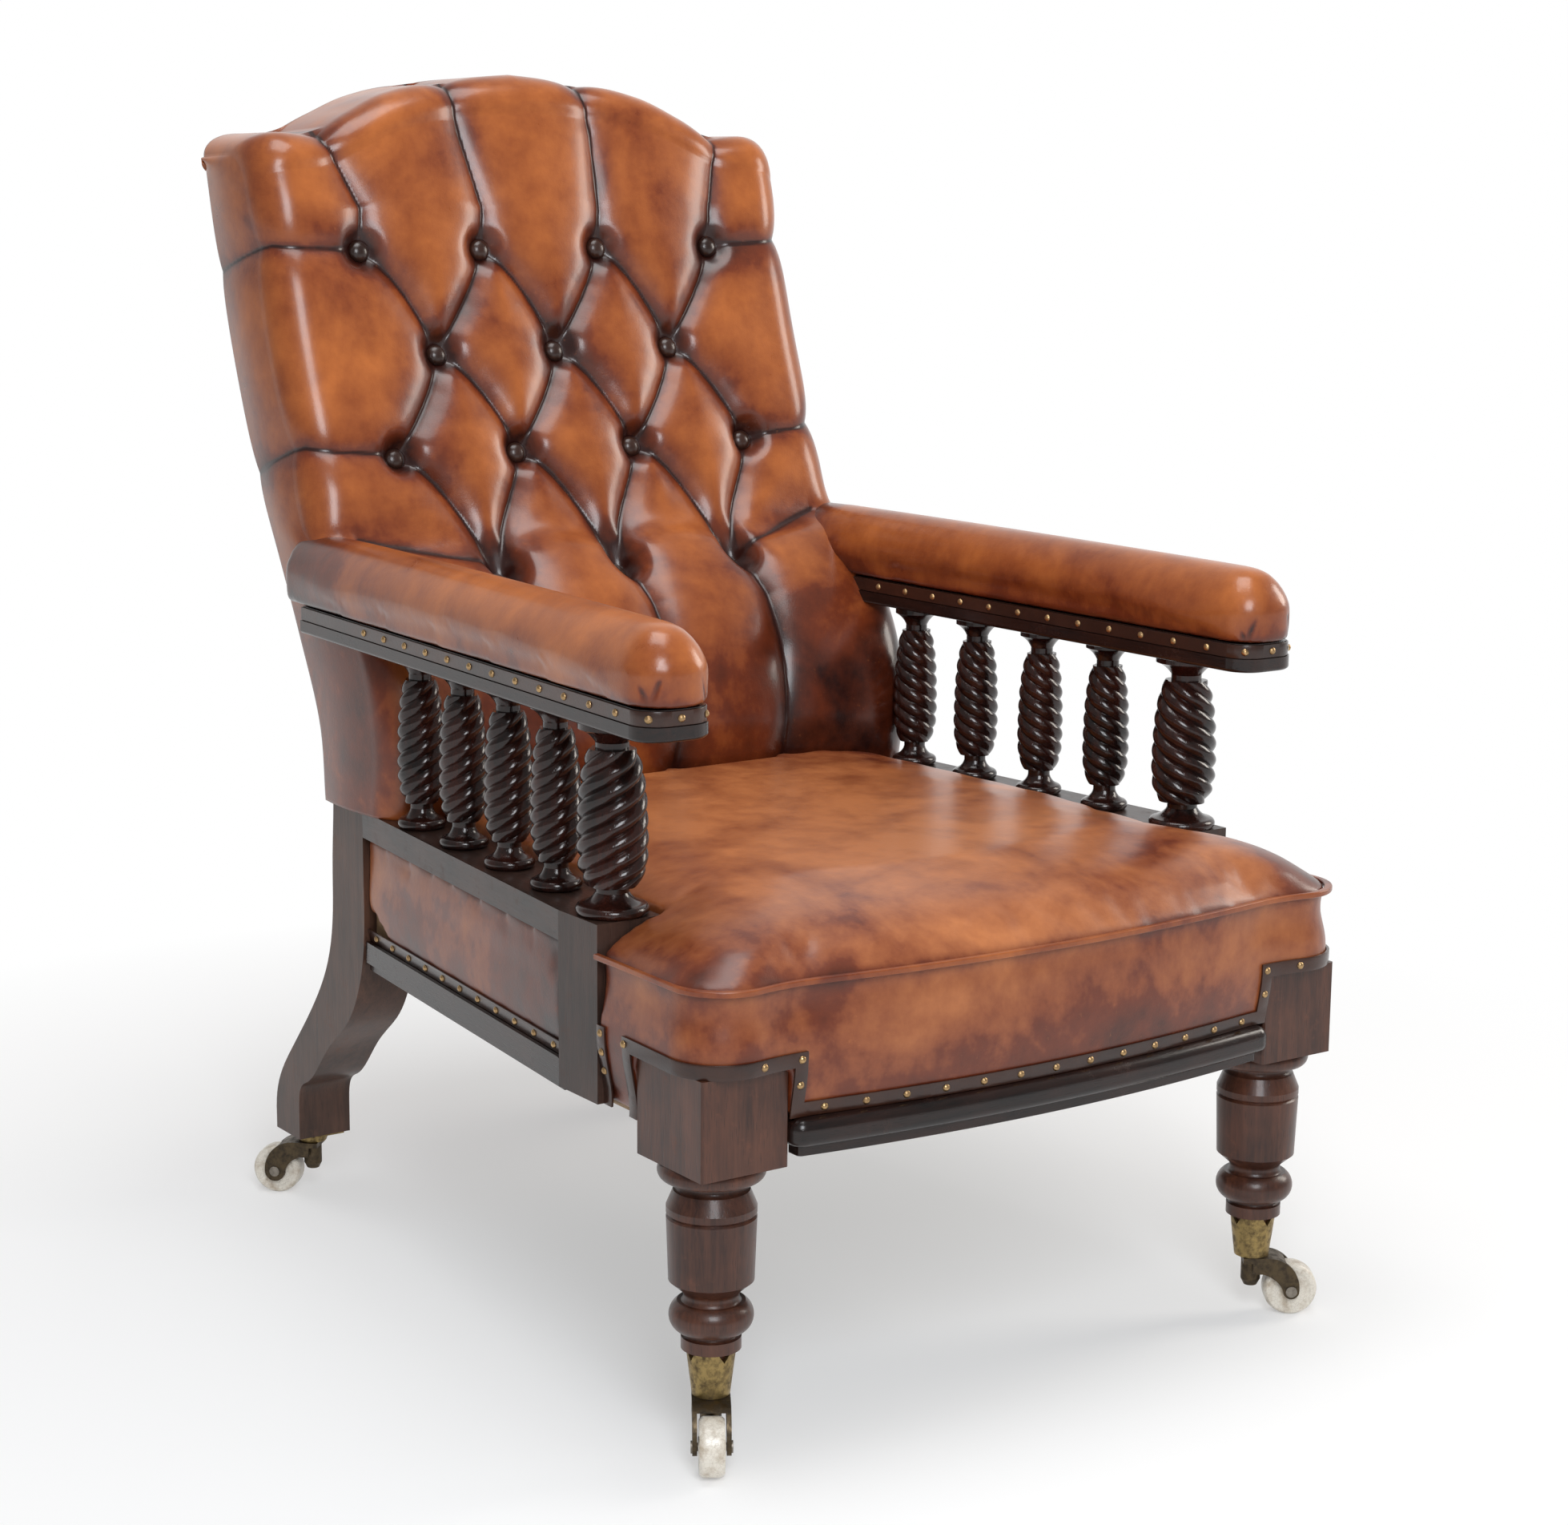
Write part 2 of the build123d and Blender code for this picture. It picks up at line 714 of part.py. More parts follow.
def save_spindle(name, side, place, ring, head, neck, body, lead, starts):
    """Make one spindle standing on its rail at a depth from the block faces."""
    height = arm_underside - rail_top
    foot = rail_top + height * spindle_foot_share
    body_low = foot + height * spindle_neck_share
    top = arm_underside - height * spindle_head_share
    body_high = top - height * spindle_neck_share
    ring_mid = (rail_top + foot) / 2
    with BuildPart() as spindle:
        for step in range(twist_sections):
            share = step / (twist_sections - 1)
            level = body_high + share * (body_low - body_high)
            turn = -side * 360 * (level - body_low) / lead
            with BuildSketch(Plane((0, 0, level))):
                with BuildLine():
                    ridge_section(body * body_swell(share), starts, turn)
                make_face()
        loft()
        with BuildSketch(Plane.XZ):
            with BuildLine():
                outline = (
                    (tenon_radius, rail_top - tenon_length, 0),
                    (tenon_radius, rail_top, 0),
                    (ring - ring_round, rail_top, 0),
                    (ring - ring_round, ring_mid, ring_round),
                    (neck, foot, -(ring - neck) * turning_bulge_share),
                    (neck, body_low, 0),
                )
                Line((0, rail_top - tenon_length), outline[0][:2])
                turned(outline)
                Polyline(outline[-1][:2], (0, body_low), (0, rail_top - tenon_length))
            make_face()
        revolve(axis=Axis.Z)
        with BuildSketch(Plane.XZ):
            with BuildLine():
                outline = (
                    (neck, body_high, 0),
                    (neck, top, 0),
                    (
                        head, arm_underside - (arm_underside - top) * head_flare_share,
                        -(head - neck) * turning_bulge_share,
                    ),
                    (head, arm_underside, 0),
                    (tenon_radius, arm_underside, 0),
                    (tenon_radius, arm_underside + tenon_length, 0),
                )
                Line((0, body_high), outline[0][:2])
                turned(outline)
                Polyline(outline[-1][:2], (0, outline[-1][1]), (0, body_high))
            make_face()
        revolve(axis=Axis.Z)
    spindle.part = spindle.part.moved(Location((side * place[0], place[1], 0)))
    save(spindle, name)


for side_name, side in sides.items():
    save_spindle(
        f"spindle_front_{side_name}", side, spindle_places[0],
        large_ring_radius, large_head_radius, large_neck_radius,
        large_body_radius, large_lead, large_starts,
    )
    for number, place in enumerate(spindle_places[1:], start=1):
        save_spindle(
            f"spindle_{number}_{side_name}", side, place,
            small_ring_radius, small_head_radius, small_neck_radius,
            small_body_radius, small_lead, small_starts,
        )

# Back: the space kept inside the upholstery for the stiles and the crest rail
core_half = frame_rear_half + soft_gap
core_rear = block_front + back_reach + cut_overrun
core_top = overall_height
with BuildPart() as back_core:
    with BuildSketch(Plane.YZ):
        with BuildLine():
            core_front = shifted(stile_front_line, -soft_gap)
            Spline(*core_front)
            Polyline(
                core_front[-1], (core_front[-1][0] + soft_gap, core_top), (core_rear, core_top),
                (core_rear, rail_top), core_front[0],
            )
        make_face()
    extrude(amount=core_half, both=True)
    with BuildSketch(Plane.XZ):
        with BuildLine():
            raised = [(x, z + soft_gap) for x, z in arch_points]
            lowered = [(-x, z) for x, z in reversed(raised[1:])]
            Spline((-core_half, arch_outer[1]), *lowered, *raised, (core_half, arch_outer[1]))
            Polyline(
                (core_half, arch_outer[1]), (core_half, rail_top), (-core_half, rail_top),
                (-core_half, arch_outer[1]),
            )
        make_face()
    extrude(amount=overall_height, both=True, mode=Mode.INTERSECT)

# Buttons in a diamond grid, and the pleats that join them
def tuft_face(z):
    """Depth of the upper front face of the back at a height."""
    return front_line[6][0] + (z - front_line[6][1]) * face_slope


def tuft_plane(x, z):
    return Plane((x, tuft_face(z), z), x_dir=(1, 0, 0), z_dir=(0, -1, face_slope))


def tuft_point(x, z):
    return Vector(x, tuft_face(z), z)


def pleat_plane(start, end):
    """Plane square to a pleat, with its own y pointing out of the leather."""
    outward = Vector(0, -1, face_slope).normalized()
    run = (end - start).normalized()
    return Plane(start, x_dir=outward.cross(run), z_dir=run)


face_slope = math.tan(math.radians(tuft_slope))
row_places = []
for row_number, count in enumerate(row_counts):
    height = row_top - row_number * row_pitch
    row_places.append([((index - (count - 1) / 2) * button_pitch, height) for index in range(count)])
button_places = [place for row in row_places for place in row]
pleat_runs = []
for upper, lower in zip(row_places, row_places[1:]):
    for upper_place in upper:
        for lower_place in lower:
            if abs(upper_place[0] - lower_place[0]) < button_pitch:
                pleat_runs.append((tuft_point(*upper_place), tuft_point(*lower_place)))
for x, z in row_places[0]:
    pleat_runs.append((tuft_point(x, z), tuft_point(x * (1 + fan_share), overall_height)))
for row in row_places[0], row_places[2]:
    for side in sides.values():
        x, z = row[0 if side < 0 else -1]
        pleat_runs.append((tuft_point(x, z), tuft_point(side * (back_edge_half + cut_overrun), z)))

# Room for the arms in the sides of the back
arm_rooms = []
for side in sides.values():
    with BuildPart() as arm_room:
        with BuildSketch(Plane.XY.offset(arm_underside - soft_gap)):
            with BuildLine():
                arm_outline(side, -pad_swell - arm_notch_gap, pad_corner, pad_rear + cut_overrun)
            make_face()
        extrude(amount=arm_core_top + pad_height + 2 * soft_gap - (arm_underside - soft_gap))
        room_edges = arm_room.edges().group_by(Axis.Z)[-1].filter_by(Axis.X, reverse=True)
        fillet(room_edges, radius=pad_crown)
    arm_rooms.append(arm_room.part)

# Back upholstery, lofted across the chair
back_bottom = rail_top + soft_gap
arc_middle = 1 - math.sqrt(0.5)
all_stations = [(-share, inset, drop) for share, inset, drop in reversed(back_station_shares[1:])]
all_stations += list(back_station_shares)
with BuildPart() as back_upholstery:
    for share, inset, drop in all_stations:
        top = shoulder_height + crest_height(abs(share)) - drop * back_edge_drop
        front = shifted(front_line, inset * back_edge_round)
        turn_low = (front[-1][0] + (top - front_round - front[-1][1]) * face_slope, top - front_round)
        turn_high = (turn_low[0] + front_round, top)
        turn_middle = (turn_low[0] + front_round * arc_middle, top - front_round * arc_middle)
        rear = [(rear_line[0][0], back_bottom)] + rear_line[1:]
        rear_top = (block_front + back_reach, top - top_fall)
        with BuildSketch(Plane.YZ.offset(share * back_edge_half)):
            with BuildLine():
                first = (front[0][0], back_bottom)
                ThreePointArc(first, front[1], front[2])
                ThreePointArc(front[2], front[3], front[4])
                ThreePointArc(front[4], front[5], front[6])
                ThreePointArc(front[6], front[7], front[8])
                Line(front[8], turn_low)
                ThreePointArc(turn_low, turn_middle, turn_high)
                Line(turn_high, rear_top)
                Line(rear_top, rear[7])
                ThreePointArc(rear[7], rear[6], rear[5])
                ThreePointArc(rear[5], rear[4], rear[3])
                ThreePointArc(rear[3], rear[2], rear[1])
                Polyline(rear[1], rear[0], first)
            make_face()
    loft()
    add(back_core.part, mode=Mode.SUBTRACT)
    for arm_room in arm_rooms:
        add(arm_room, mode=Mode.SUBTRACT)
    for x, z in button_places:
        with Locations(tuft_plane(x, z).offset(-dimple_depth)):
            Cone(
                button_radius + soft_gap, dimple_radius, dimple_depth + dimple_run,
                align=(Align.CENTER, Align.CENTER, Align.MIN), mode=Mode.SUBTRACT,
            )
    for start, end in pleat_runs:
        with BuildSketch(pleat_plane(start, end)):
            Polygon(
                (0, -pleat_depth), (pleat_half, 0), (pleat_half, pleat_reach),
                (-pleat_half, pleat_reach), (-pleat_half, 0), align=None,
            )
        extrude(amount=(end - start).length, mode=Mode.SUBTRACT)
    for rear_leg_part in rear_legs.values():
        add(rear_leg_part, mode=Mode.SUBTRACT)
    for column in (-1, 0, 1):
        with BuildSketch(Plane.YZ.offset(column * button_pitch)):
            with BuildLine():
                fold = shifted(front_line[:6], pleat_depth)
                ThreePointArc(fold[0], fold[1], fold[2])
                ThreePointArc(fold[2], fold[3], fold[4])
                Polyline(
                    fold[4], (fold[0][0] - pleat_reach - pleat_reach, fold[4][1]),
                    (fold[0][0] - pleat_reach - pleat_reach, fold[0][1]), fold[0],
                )
            make_face()
        extrude(amount=pleat_half, both=True, mode=Mode.SUBTRACT)
save(back_upholstery, "back_upholstery")

# Buttons, each seated in the floor of its dimple
with BuildPart() as back_buttons:
    for x, z in button_places:
        with BuildSketch(tuft_plane(x, z).offset(soft_gap - dimple_depth)):
            Circle(button_radius)
        extrude(amount=button_foot)
        with Locations(tuft_plane(x, z).offset(soft_gap - dimple_depth + button_foot)):
            Cone(
                button_radius, button_radius / 2, button_height - button_foot,
                align=(Align.CENTER, Align.CENTER, Align.MIN),
            )
save(back_buttons, "back_buttons")

# Outside back: a leather panel between the side edges, with a tongue down to the rear rail
panel_half = frame_rear_half - soft_gap
with BuildPart() as outside_back:
    with BuildSketch(Plane.YZ):
        with BuildLine():
            inner_line = stile_rear_line[:-1]
            outer_line = rear_line[:-1]
            top_rear = (block_front + back_reach, shoulder_height)
            top_inner = (top_rear[0] - leather_thickness + soft_gap, shoulder_height)
            Spline(*shifted(inner_line, soft_gap), top_inner)
            Polyline(
                top_inner, (top_inner[0], overall_height), (top_rear[0], overall_height), top_rear
            )
            Spline(top_rear, *reversed(outer_line))
            Line(outer_line[0], (inner_line[0][0] + soft_gap, inner_line[0][1]))
        make_face()
    extrude(amount=panel_half, both=True)
    with BuildSketch(Plane.XZ):
        with BuildLine():
            lowered = [(-x, z) for x, z in reversed(arch_points[1:])]
            Spline((-frame_rear_half, arch_outer[1]), *lowered, *arch_points, arch_outer)
            Polyline(
                arch_outer, (frame_rear_half, rail_top - cut_overrun),
                (-frame_rear_half, rail_top - cut_overrun), (-frame_rear_half, arch_outer[1]),
            )
        make_face()
    extrude(amount=overall_height, both=True, mode=Mode.INTERSECT)
    for rear_leg_part in rear_legs.values():
        add(rear_leg_part, mode=Mode.SUBTRACT)
    tongue_front = rear_rail_front + rear_rail_thickness
    cut_box(
        (soft_gap - inner_half, tongue_front, moulding_top),
        (inner_half - soft_gap, tongue_front + leather_thickness, rail_top + soft_gap), mode=Mode.ADD,
    )
save(outside_back, "outside_back")

# Seat cushion: a leather border round the rails and a crowned top, in one stuffed piece
bow_reach = block_front - rail_bow + seat_crown_setback
bow_end_y = block_front - seat_bow_end
wing_y = block_front - seat_wing_reach
corner_y = wing_y + seat_corner_run
front_bow = ThreePointArc((-seat_bow_half, bow_end_y), (0, bow_reach), (seat_bow_half, bow_end_y))
front_hollow = TangentArc(
    (seat_bow_half, bow_end_y), (seat_wing_half, wing_y), tangent=front_bow % 1
)
front_corner = TangentArc(
    (seat_wing_half, wing_y), (seat_corner_half, corner_y), tangent=front_hollow % 1
)
hollow_middle = front_hollow @ 0.5
corner_middle = front_corner @ 0.5
front_points = (
    (0, bow_reach), (seat_bow_half, bow_end_y), (hollow_middle.X, hollow_middle.Y),
    (seat_wing_half, wing_y), (corner_middle.X, corner_middle.Y), (seat_corner_half, corner_y),
)


def inset_point(point, inset, side):
    """A point of the front outline drawn in by an inset, on one side of the chair."""
    return (side * point[0] * (1 - inset / seat_corner_half), point[1] + inset)


def front_outline(inset):
    """The serpentine front edge, from the left corner to the right one."""
    bow, hollow_start, hollow_mid, wing, corner_mid, corner = front_points
    for side in (-1, 1):
        ThreePointArc(*[inset_point(point, inset, side) for point in (wing, corner_mid, corner)])
        ThreePointArc(*[inset_point(point, inset, side) for point in (hollow_start, hollow_mid, wing)])
    ThreePointArc(
        inset_point(hollow_start, inset, -1), inset_point(bow, inset, 1), inset_point(hollow_start, inset, 1)
    )


def seat_plan(inset, side_half, rear_y, rear_half):
    """Whole plan of the seat: the serpentine front and straight sides to the back."""
    corner = front_points[-1]
    front_outline(inset)
    right_front = inset_point(corner, inset, -1)
    left_front = inset_point(corner, inset, 1)
    Polyline(
        right_front, (-side_half, post_rear), (-rear_half, rear_y), (rear_half, rear_y),
        (side_half, post_rear), left_front,
    )


def border_plan(inset):
    """Plan of the leather border, drawn in by an inset."""
    seat_plan(
        inset, frame_edge(post_rear) - panel_recess - inset,
        stile_front - soft_gap, frame_edge(stile_front) - panel_recess - inset,
    )


border_sections = (
    (seat_rail_bottom, apron_swell),
    (moulding_top, apron_swell),
    ((moulding_top + block_top) / 2, apron_swell * apron_middle_share),
    ((block_top + piping_height) / 2, 0),
    (piping_height, 0),
)
frame_clear = seat_rail_top + soft_gap
side_reach = seat_corner_half + cut_overrun
front_reach = block_front - rail_bow - cut_overrun
rail_outer = frame_front_half - side_rail_recess
with BuildPart() as seat_upholstery:
    for height, inset in border_sections:
        with BuildSketch(Plane.XY.offset(height)):
            with BuildLine():
                border_plan(inset)
            make_face()
    loft()
    for share, rise in crown_shares:
        with BuildSketch(Plane.XY.offset(piping_height + rise * seat_crown)):
            with BuildLine():
                inset = share * crown_run
                half = frame_edge(post_rear) - panel_recess
                rear = frame_edge(stile_front) - panel_recess
                seat_plan(
                    inset, half * (1 - inset / seat_corner_half), stile_front - soft_gap,
                    rear * (1 - inset / seat_corner_half),
                )
            make_face()
    loft()
    add(back_upholstery.part.moved(Location((0, -soft_gap, 0))), mode=Mode.SUBTRACT)
    cut_box((-side_reach, stile_front - rail_thickness, spindle_rail_bottom - soft_gap),
            (side_reach, back_reach, overall_height))
    cut_box(
        (-block_inner_half, front_reach, seat_rail_bottom - cut_overrun),
        (block_inner_half, front_rail_face, moulding_top + soft_gap),
    )
    inner_side = rail_outer - rail_thickness
    cut_box(
        (-inner_side, front_rail_face - soft_gap, seat_rail_bottom - cut_overrun),
        (inner_side, back_reach, frame_clear),
    )
    for side in sides.values():
        with BuildSketch(Plane.XY.offset(seat_rail_bottom - cut_overrun)):
            with BuildLine():
                rail_end = stile_front + cut_overrun
                outer = frame_edge(post_rear) - side_rail_recess + soft_gap
                outer_end = frame_edge(rail_end) - side_rail_recess + soft_gap
                Polyline(
                    (0, block_rear - cut_overrun), (side * outer, block_rear - cut_overrun),
                    (side * outer, post_rear), (side * outer_end, rail_end), (0, rail_end),
                    close=True,
                )
            make_face()
        extrude(amount=frame_clear - seat_rail_bottom + cut_overrun, mode=Mode.SUBTRACT)
        block_side = block_inner_half - soft_gap
        for x_low, x_high, y_low, y_high, z_low, z_high in (
            (block_side, side_reach, front_reach, block_rear + soft_gap, block_bottom, frame_clear),
            (rail_outer, side_reach, post_front - soft_gap, post_rear + soft_gap, block_bottom,
             overall_height),
            (frame_front_half - post_width - soft_gap, side_reach, post_front - soft_gap,
             post_rear + soft_gap, seat_rail_top - soft_gap, overall_height),
            (rail_outer - cut_overrun, side_reach, post_rear, stile_front, block_bottom,
             side_moulding_top + soft_gap),
        ):
            ends = sorted((side * x_low, side * x_high))
            cut_box((ends[0], y_low, z_low), (ends[1], y_high, z_high))
        with BuildSketch(Plane.XY.offset(block_bottom)):
            with BuildLine():
                Polyline(
                    (side * (frame_edge(post_rear) - 2 * side_rail_recess), post_rear),
                    (side * side_reach, post_rear), (side * side_reach, stile_front),
                    (side * (frame_edge(stile_front) - 2 * side_rail_recess), stile_front),
                    close=True,
                )
            make_face()
        extrude(amount=side_moulding_top + soft_gap - block_bottom, mode=Mode.SUBTRACT)
        with BuildSketch(Plane.XY.offset(spindle_rail_bottom - soft_gap)):
            with BuildLine():
                Polyline(
                    (side * (frame_edge(post_rear) - post_width - soft_gap), post_rear),
                    (side * side_reach, post_rear), (side * side_reach, stile_front),
                    (side * (frame_edge(stile_front) - stile_width - soft_gap), stile_front),
                    close=True,
                )
            make_face()
        extrude(amount=overall_height, mode=Mode.SUBTRACT)
    room_x = spring_spacing_x + spring_room
    room_y = spring_spacing_y + spring_room
    room_mid = block_front + spring_row_centre
    cut_box(
        (-room_x, room_mid - room_y, seat_rail_bottom), (room_x, room_mid + room_y, spring_top + soft_gap)
    )
save(seat_upholstery, "seat_upholstery")

# Piping along the front edge of the seat
piping_outer = -2 * piping_radius - soft_gap
with BuildPart() as seat_piping:
    with BuildSketch(Plane.XY.offset(piping_height - piping_radius)):
        for inset, mode in ((piping_outer, Mode.ADD), (-soft_gap, Mode.SUBTRACT)):
            with BuildLine():
                front_outline(inset)
                left_end = inset_point(front_points[-1], inset, 1)
                right_end = inset_point(front_points[-1], inset, -1)
                Polyline(
                    right_end, (right_end[0], post_front - soft_gap),
                    (left_end[0], post_front - soft_gap), left_end,
                )
            make_face(mode=mode)
    extrude(amount=2 * piping_radius)
    long_edges = seat_piping.edges().group_by(Axis.Z)
    fillet(long_edges[0] + long_edges[-1], radius=piping_radius / 2)
save(seat_piping, "seat_piping")

# Gimp round the foot of the seat leather: a thin shell of the border, kept only in bands
with BuildPart() as border_core:
    for height, inset in border_sections:
        with BuildSketch(Plane.XY.offset(height)):
            with BuildLine():
                border_plan(inset - soft_gap)
            make_face()
    loft()

block_step = block_inner_half - gimp_height
with BuildPart() as gimp_bands:
    for side in sides.values():
        for low, high in (
            ((0, front_reach, moulding_top + soft_gap),
             (block_inner_half - soft_gap, front_rail_face, moulding_top + soft_gap + gimp_height)),
            ((block_step, front_reach, moulding_top + soft_gap),
             (block_inner_half - soft_gap, front_rail_face, frame_clear + gimp_height)),
            ((block_step, front_reach, frame_clear),
             (side_reach, block_rear - gimp_height, frame_clear + gimp_height)),
            ((block_inner_half, block_rear + soft_gap, seat_rail_bottom),
             (side_reach, block_rear + soft_gap + gimp_height, frame_clear + gimp_height)),
            ((block_inner_half, block_rear - gimp_height, frame_clear),
             (side_reach, block_rear + soft_gap + gimp_height, frame_clear + gimp_height)),
            ((rail_outer - rail_thickness, post_front - soft_gap - gimp_height, seat_rail_bottom),
             (side_reach, post_front - soft_gap, frame_clear + gimp_height)),
            ((rear_axis_x - stile_width / 2, post_rear + soft_gap, side_moulding_top + soft_gap),
             (side_reach, stile_front - soft_gap, side_moulding_top + soft_gap + gimp_height)),
        ):
            ends = sorted((side * low[0], side * high[0]))
            cut_box((ends[0], low[1], low[2]), (ends[1], high[1], high[2]), mode=Mode.ADD)

with BuildPart() as seat_gimp:
    for height, inset in border_sections:
        with BuildSketch(Plane.XY.offset(height)):
            with BuildLine():
                border_plan(inset - soft_gap - gimp_thickness)
            make_face()
    loft()
    add(border_core.part, mode=Mode.SUBTRACT)
    add(gimp_bands.part, mode=Mode.INTERSECT)
save(seat_gimp, "seat_gimp")

# Springs of the seat, each a coil of half-turn arcs standing on the webbing
web_top = seat_rail_bottom
coil_low = web_top + spring_wire
coil_rise = (spring_top - 2 * spring_wire - web_top) / (2 * spring_turns)
with BuildPart() as one_spring:
    with BuildLine():
        for half in range(2 * spring_turns):
            way = 1 if half % 2 == 0 else -1
            low = coil_low + half * coil_rise
            ThreePointArc(
                (way * spring_radius, 0, low),
                (0, way * spring_radius, low + coil_rise / 2),
                (-way * spring_radius, 0, low + coil_rise),
            )
    with BuildSketch(Plane((spring_radius, 0, coil_low), z_dir=(0, 1, 0))):
        Circle(spring_wire)
    sweep()
with BuildPart() as seat_springs:
    with Locations((0, block_front + spring_row_centre)):
        with GridLocations(spring_spacing_x, spring_spacing_y, spring_count, spring_count):
            add(one_spring.part)
save(seat_springs, "seat_springs")

# Webbing under the springs, and the cover cloth under it
web_front = front_rail_face + web_inset
web_rear = rear_rail_front + rear_rail_thickness - web_inset
with BuildPart() as seat_webbing:
    with BuildSketch(Plane.XY.offset(seat_rail_bottom - web_thickness)):
        with Locations((0, (web_front + web_rear) / 2)):
            with GridLocations(spring_spacing_x, 0, spring_count, 1):
                Rectangle(web_width, web_rear - web_front)
        for row in (-1, 0, 1):
            y = block_front + spring_row_centre + row * spring_spacing_y
            with Locations((0, y)):
                Rectangle(2 * (frame_edge(y) - side_rail_recess - web_inset), web_width)
    extrude(amount=web_thickness)
save(seat_webbing, "seat_webbing")

with BuildPart() as dust_cover:
    with BuildSketch(Plane.XY.offset(seat_rail_bottom - web_thickness - cover_thickness)):
        with BuildLine():
            front_x = rail_outer - web_inset
            rear_x = frame_edge(stile_front) - side_rail_recess - web_inset
            Polyline(
                (-front_x, block_rear), (-rear_x, stile_front), (-inner_half, stile_front),
                (-inner_half, web_rear), (inner_half, web_rear), (inner_half, stile_front),
                (rear_x, stile_front), (front_x, block_rear), (block_inner_half, block_rear),
                (block_inner_half, web_front), (-block_inner_half, web_front),
                (-block_inner_half, block_rear), close=True,
            )
        make_face()
    extrude(amount=cover_thickness)
save(dust_cover, "dust_cover")

# Nails: small domed heads along the gimp
nail_curve = (nail_radius ** 2 + nail_height ** 2) / (2 * nail_height)
with BuildPart() as nail_head:
    with Locations((0, 0, nail_height - nail_curve)):
        Sphere(nail_curve)
    cut_box((-nail_curve, -nail_curve, -2 * nail_curve), (nail_curve, nail_curve, 0))


def nail_on(piece, place, heading):
    """Plane of a nail where a line drawn from a place outside first meets a piece."""
    hits = piece.part.find_intersection_points(Axis(place, heading))
    point, normal = min(hits, key=lambda hit: (hit[0] - Vector(place)).dot(Vector(heading)))
    return Plane(point + normal * nail_clearance, x_dir=(0, 0, 1), z_dir=normal)


front_nail_z = moulding_top + soft_gap + gimp_height / 2
block_nail_z = frame_clear + gimp_height / 2
side_nail_z = side_moulding_top + soft_gap + gimp_height / 2
block_nail_x = block_inner_half - soft_gap - gimp_height / 2
front_nail_count = int(2 * block_nail_x / nail_pitch)
seat_nail_places = [
    ((index - (front_nail_count - 1) / 2) * nail_pitch, front_nail_z) for index in range(front_nail_count)
]
for side in sides.values():
    seat_nail_places += [
        (side * block_nail_x, (front_nail_z + block_nail_z) / 2),
        (side * block_nail_x, block_nail_z),
        (side * (block_nail_x + nail_pitch), block_nail_z),
    ]
nail_planes = [nail_on(seat_gimp, (x, front_reach, z), (0, 1, 0)) for x, z in seat_nail_places]
post_nail_y = post_front - soft_gap - gimp_height / 2
side_length = stile_front - post_rear
side_nail_count = int((side_length - gimp_height) / nail_pitch)
for side in sides.values():
    side_nail_places = [(post_nail_y - nail_pitch, block_nail_z)]
    for level in range(post_nail_count):
        post_nail_z = side_nail_z + level * (block_nail_z - side_nail_z) / (post_nail_count - 1)
        side_nail_places.append((post_nail_y, post_nail_z))
    for index in range(side_nail_count):
        y = post_rear + (index + 0.5) * side_length / side_nail_count
        side_nail_places.append((y, side_nail_z))
    nail_planes += [
        nail_on(seat_gimp, (side * side_reach, y, z), (-side, 0, 0)) for y, z in side_nail_places
    ]

arm_nail_z = arm_core_bottom + soft_gap + gimp_height / 2
arm_face = arm_front + arm_core_inset
arm_nail_count = int((stile_front - arm_front - 2 * arm_corner) / arm_nail_pitch)
for side_name, side in sides.items():
    gimp = arm_gimps[side_name]
    start = (side * arm_centre(arm_face), arm_front - cut_overrun, arm_nail_z)
    nail_planes.append(nail_on(gimp, start, (0, 1, 0)))
    for way in (-1, 1):
        corner_start = (
            side * (arm_centre(arm_face) + way * arm_half_width), arm_front, arm_nail_z
        )
        nail_planes.append(nail_on(gimp, corner_start, (-side * way, 1, 0)))
        for index in range(arm_nail_count):
            y = arm_face + arm_corner + (index + 0.5) * arm_nail_pitch
            start = (side * (arm_centre(y) + way * (arm_half_width + cut_overrun)), y, arm_nail_z)
            nail_planes.append(nail_on(gimp, start, (-side * way, 0, 0)))
with BuildPart() as gimp_nails:
    with Locations(*nail_planes):
        add(nail_head.part)
save(gimp_nails, "gimp_nails")

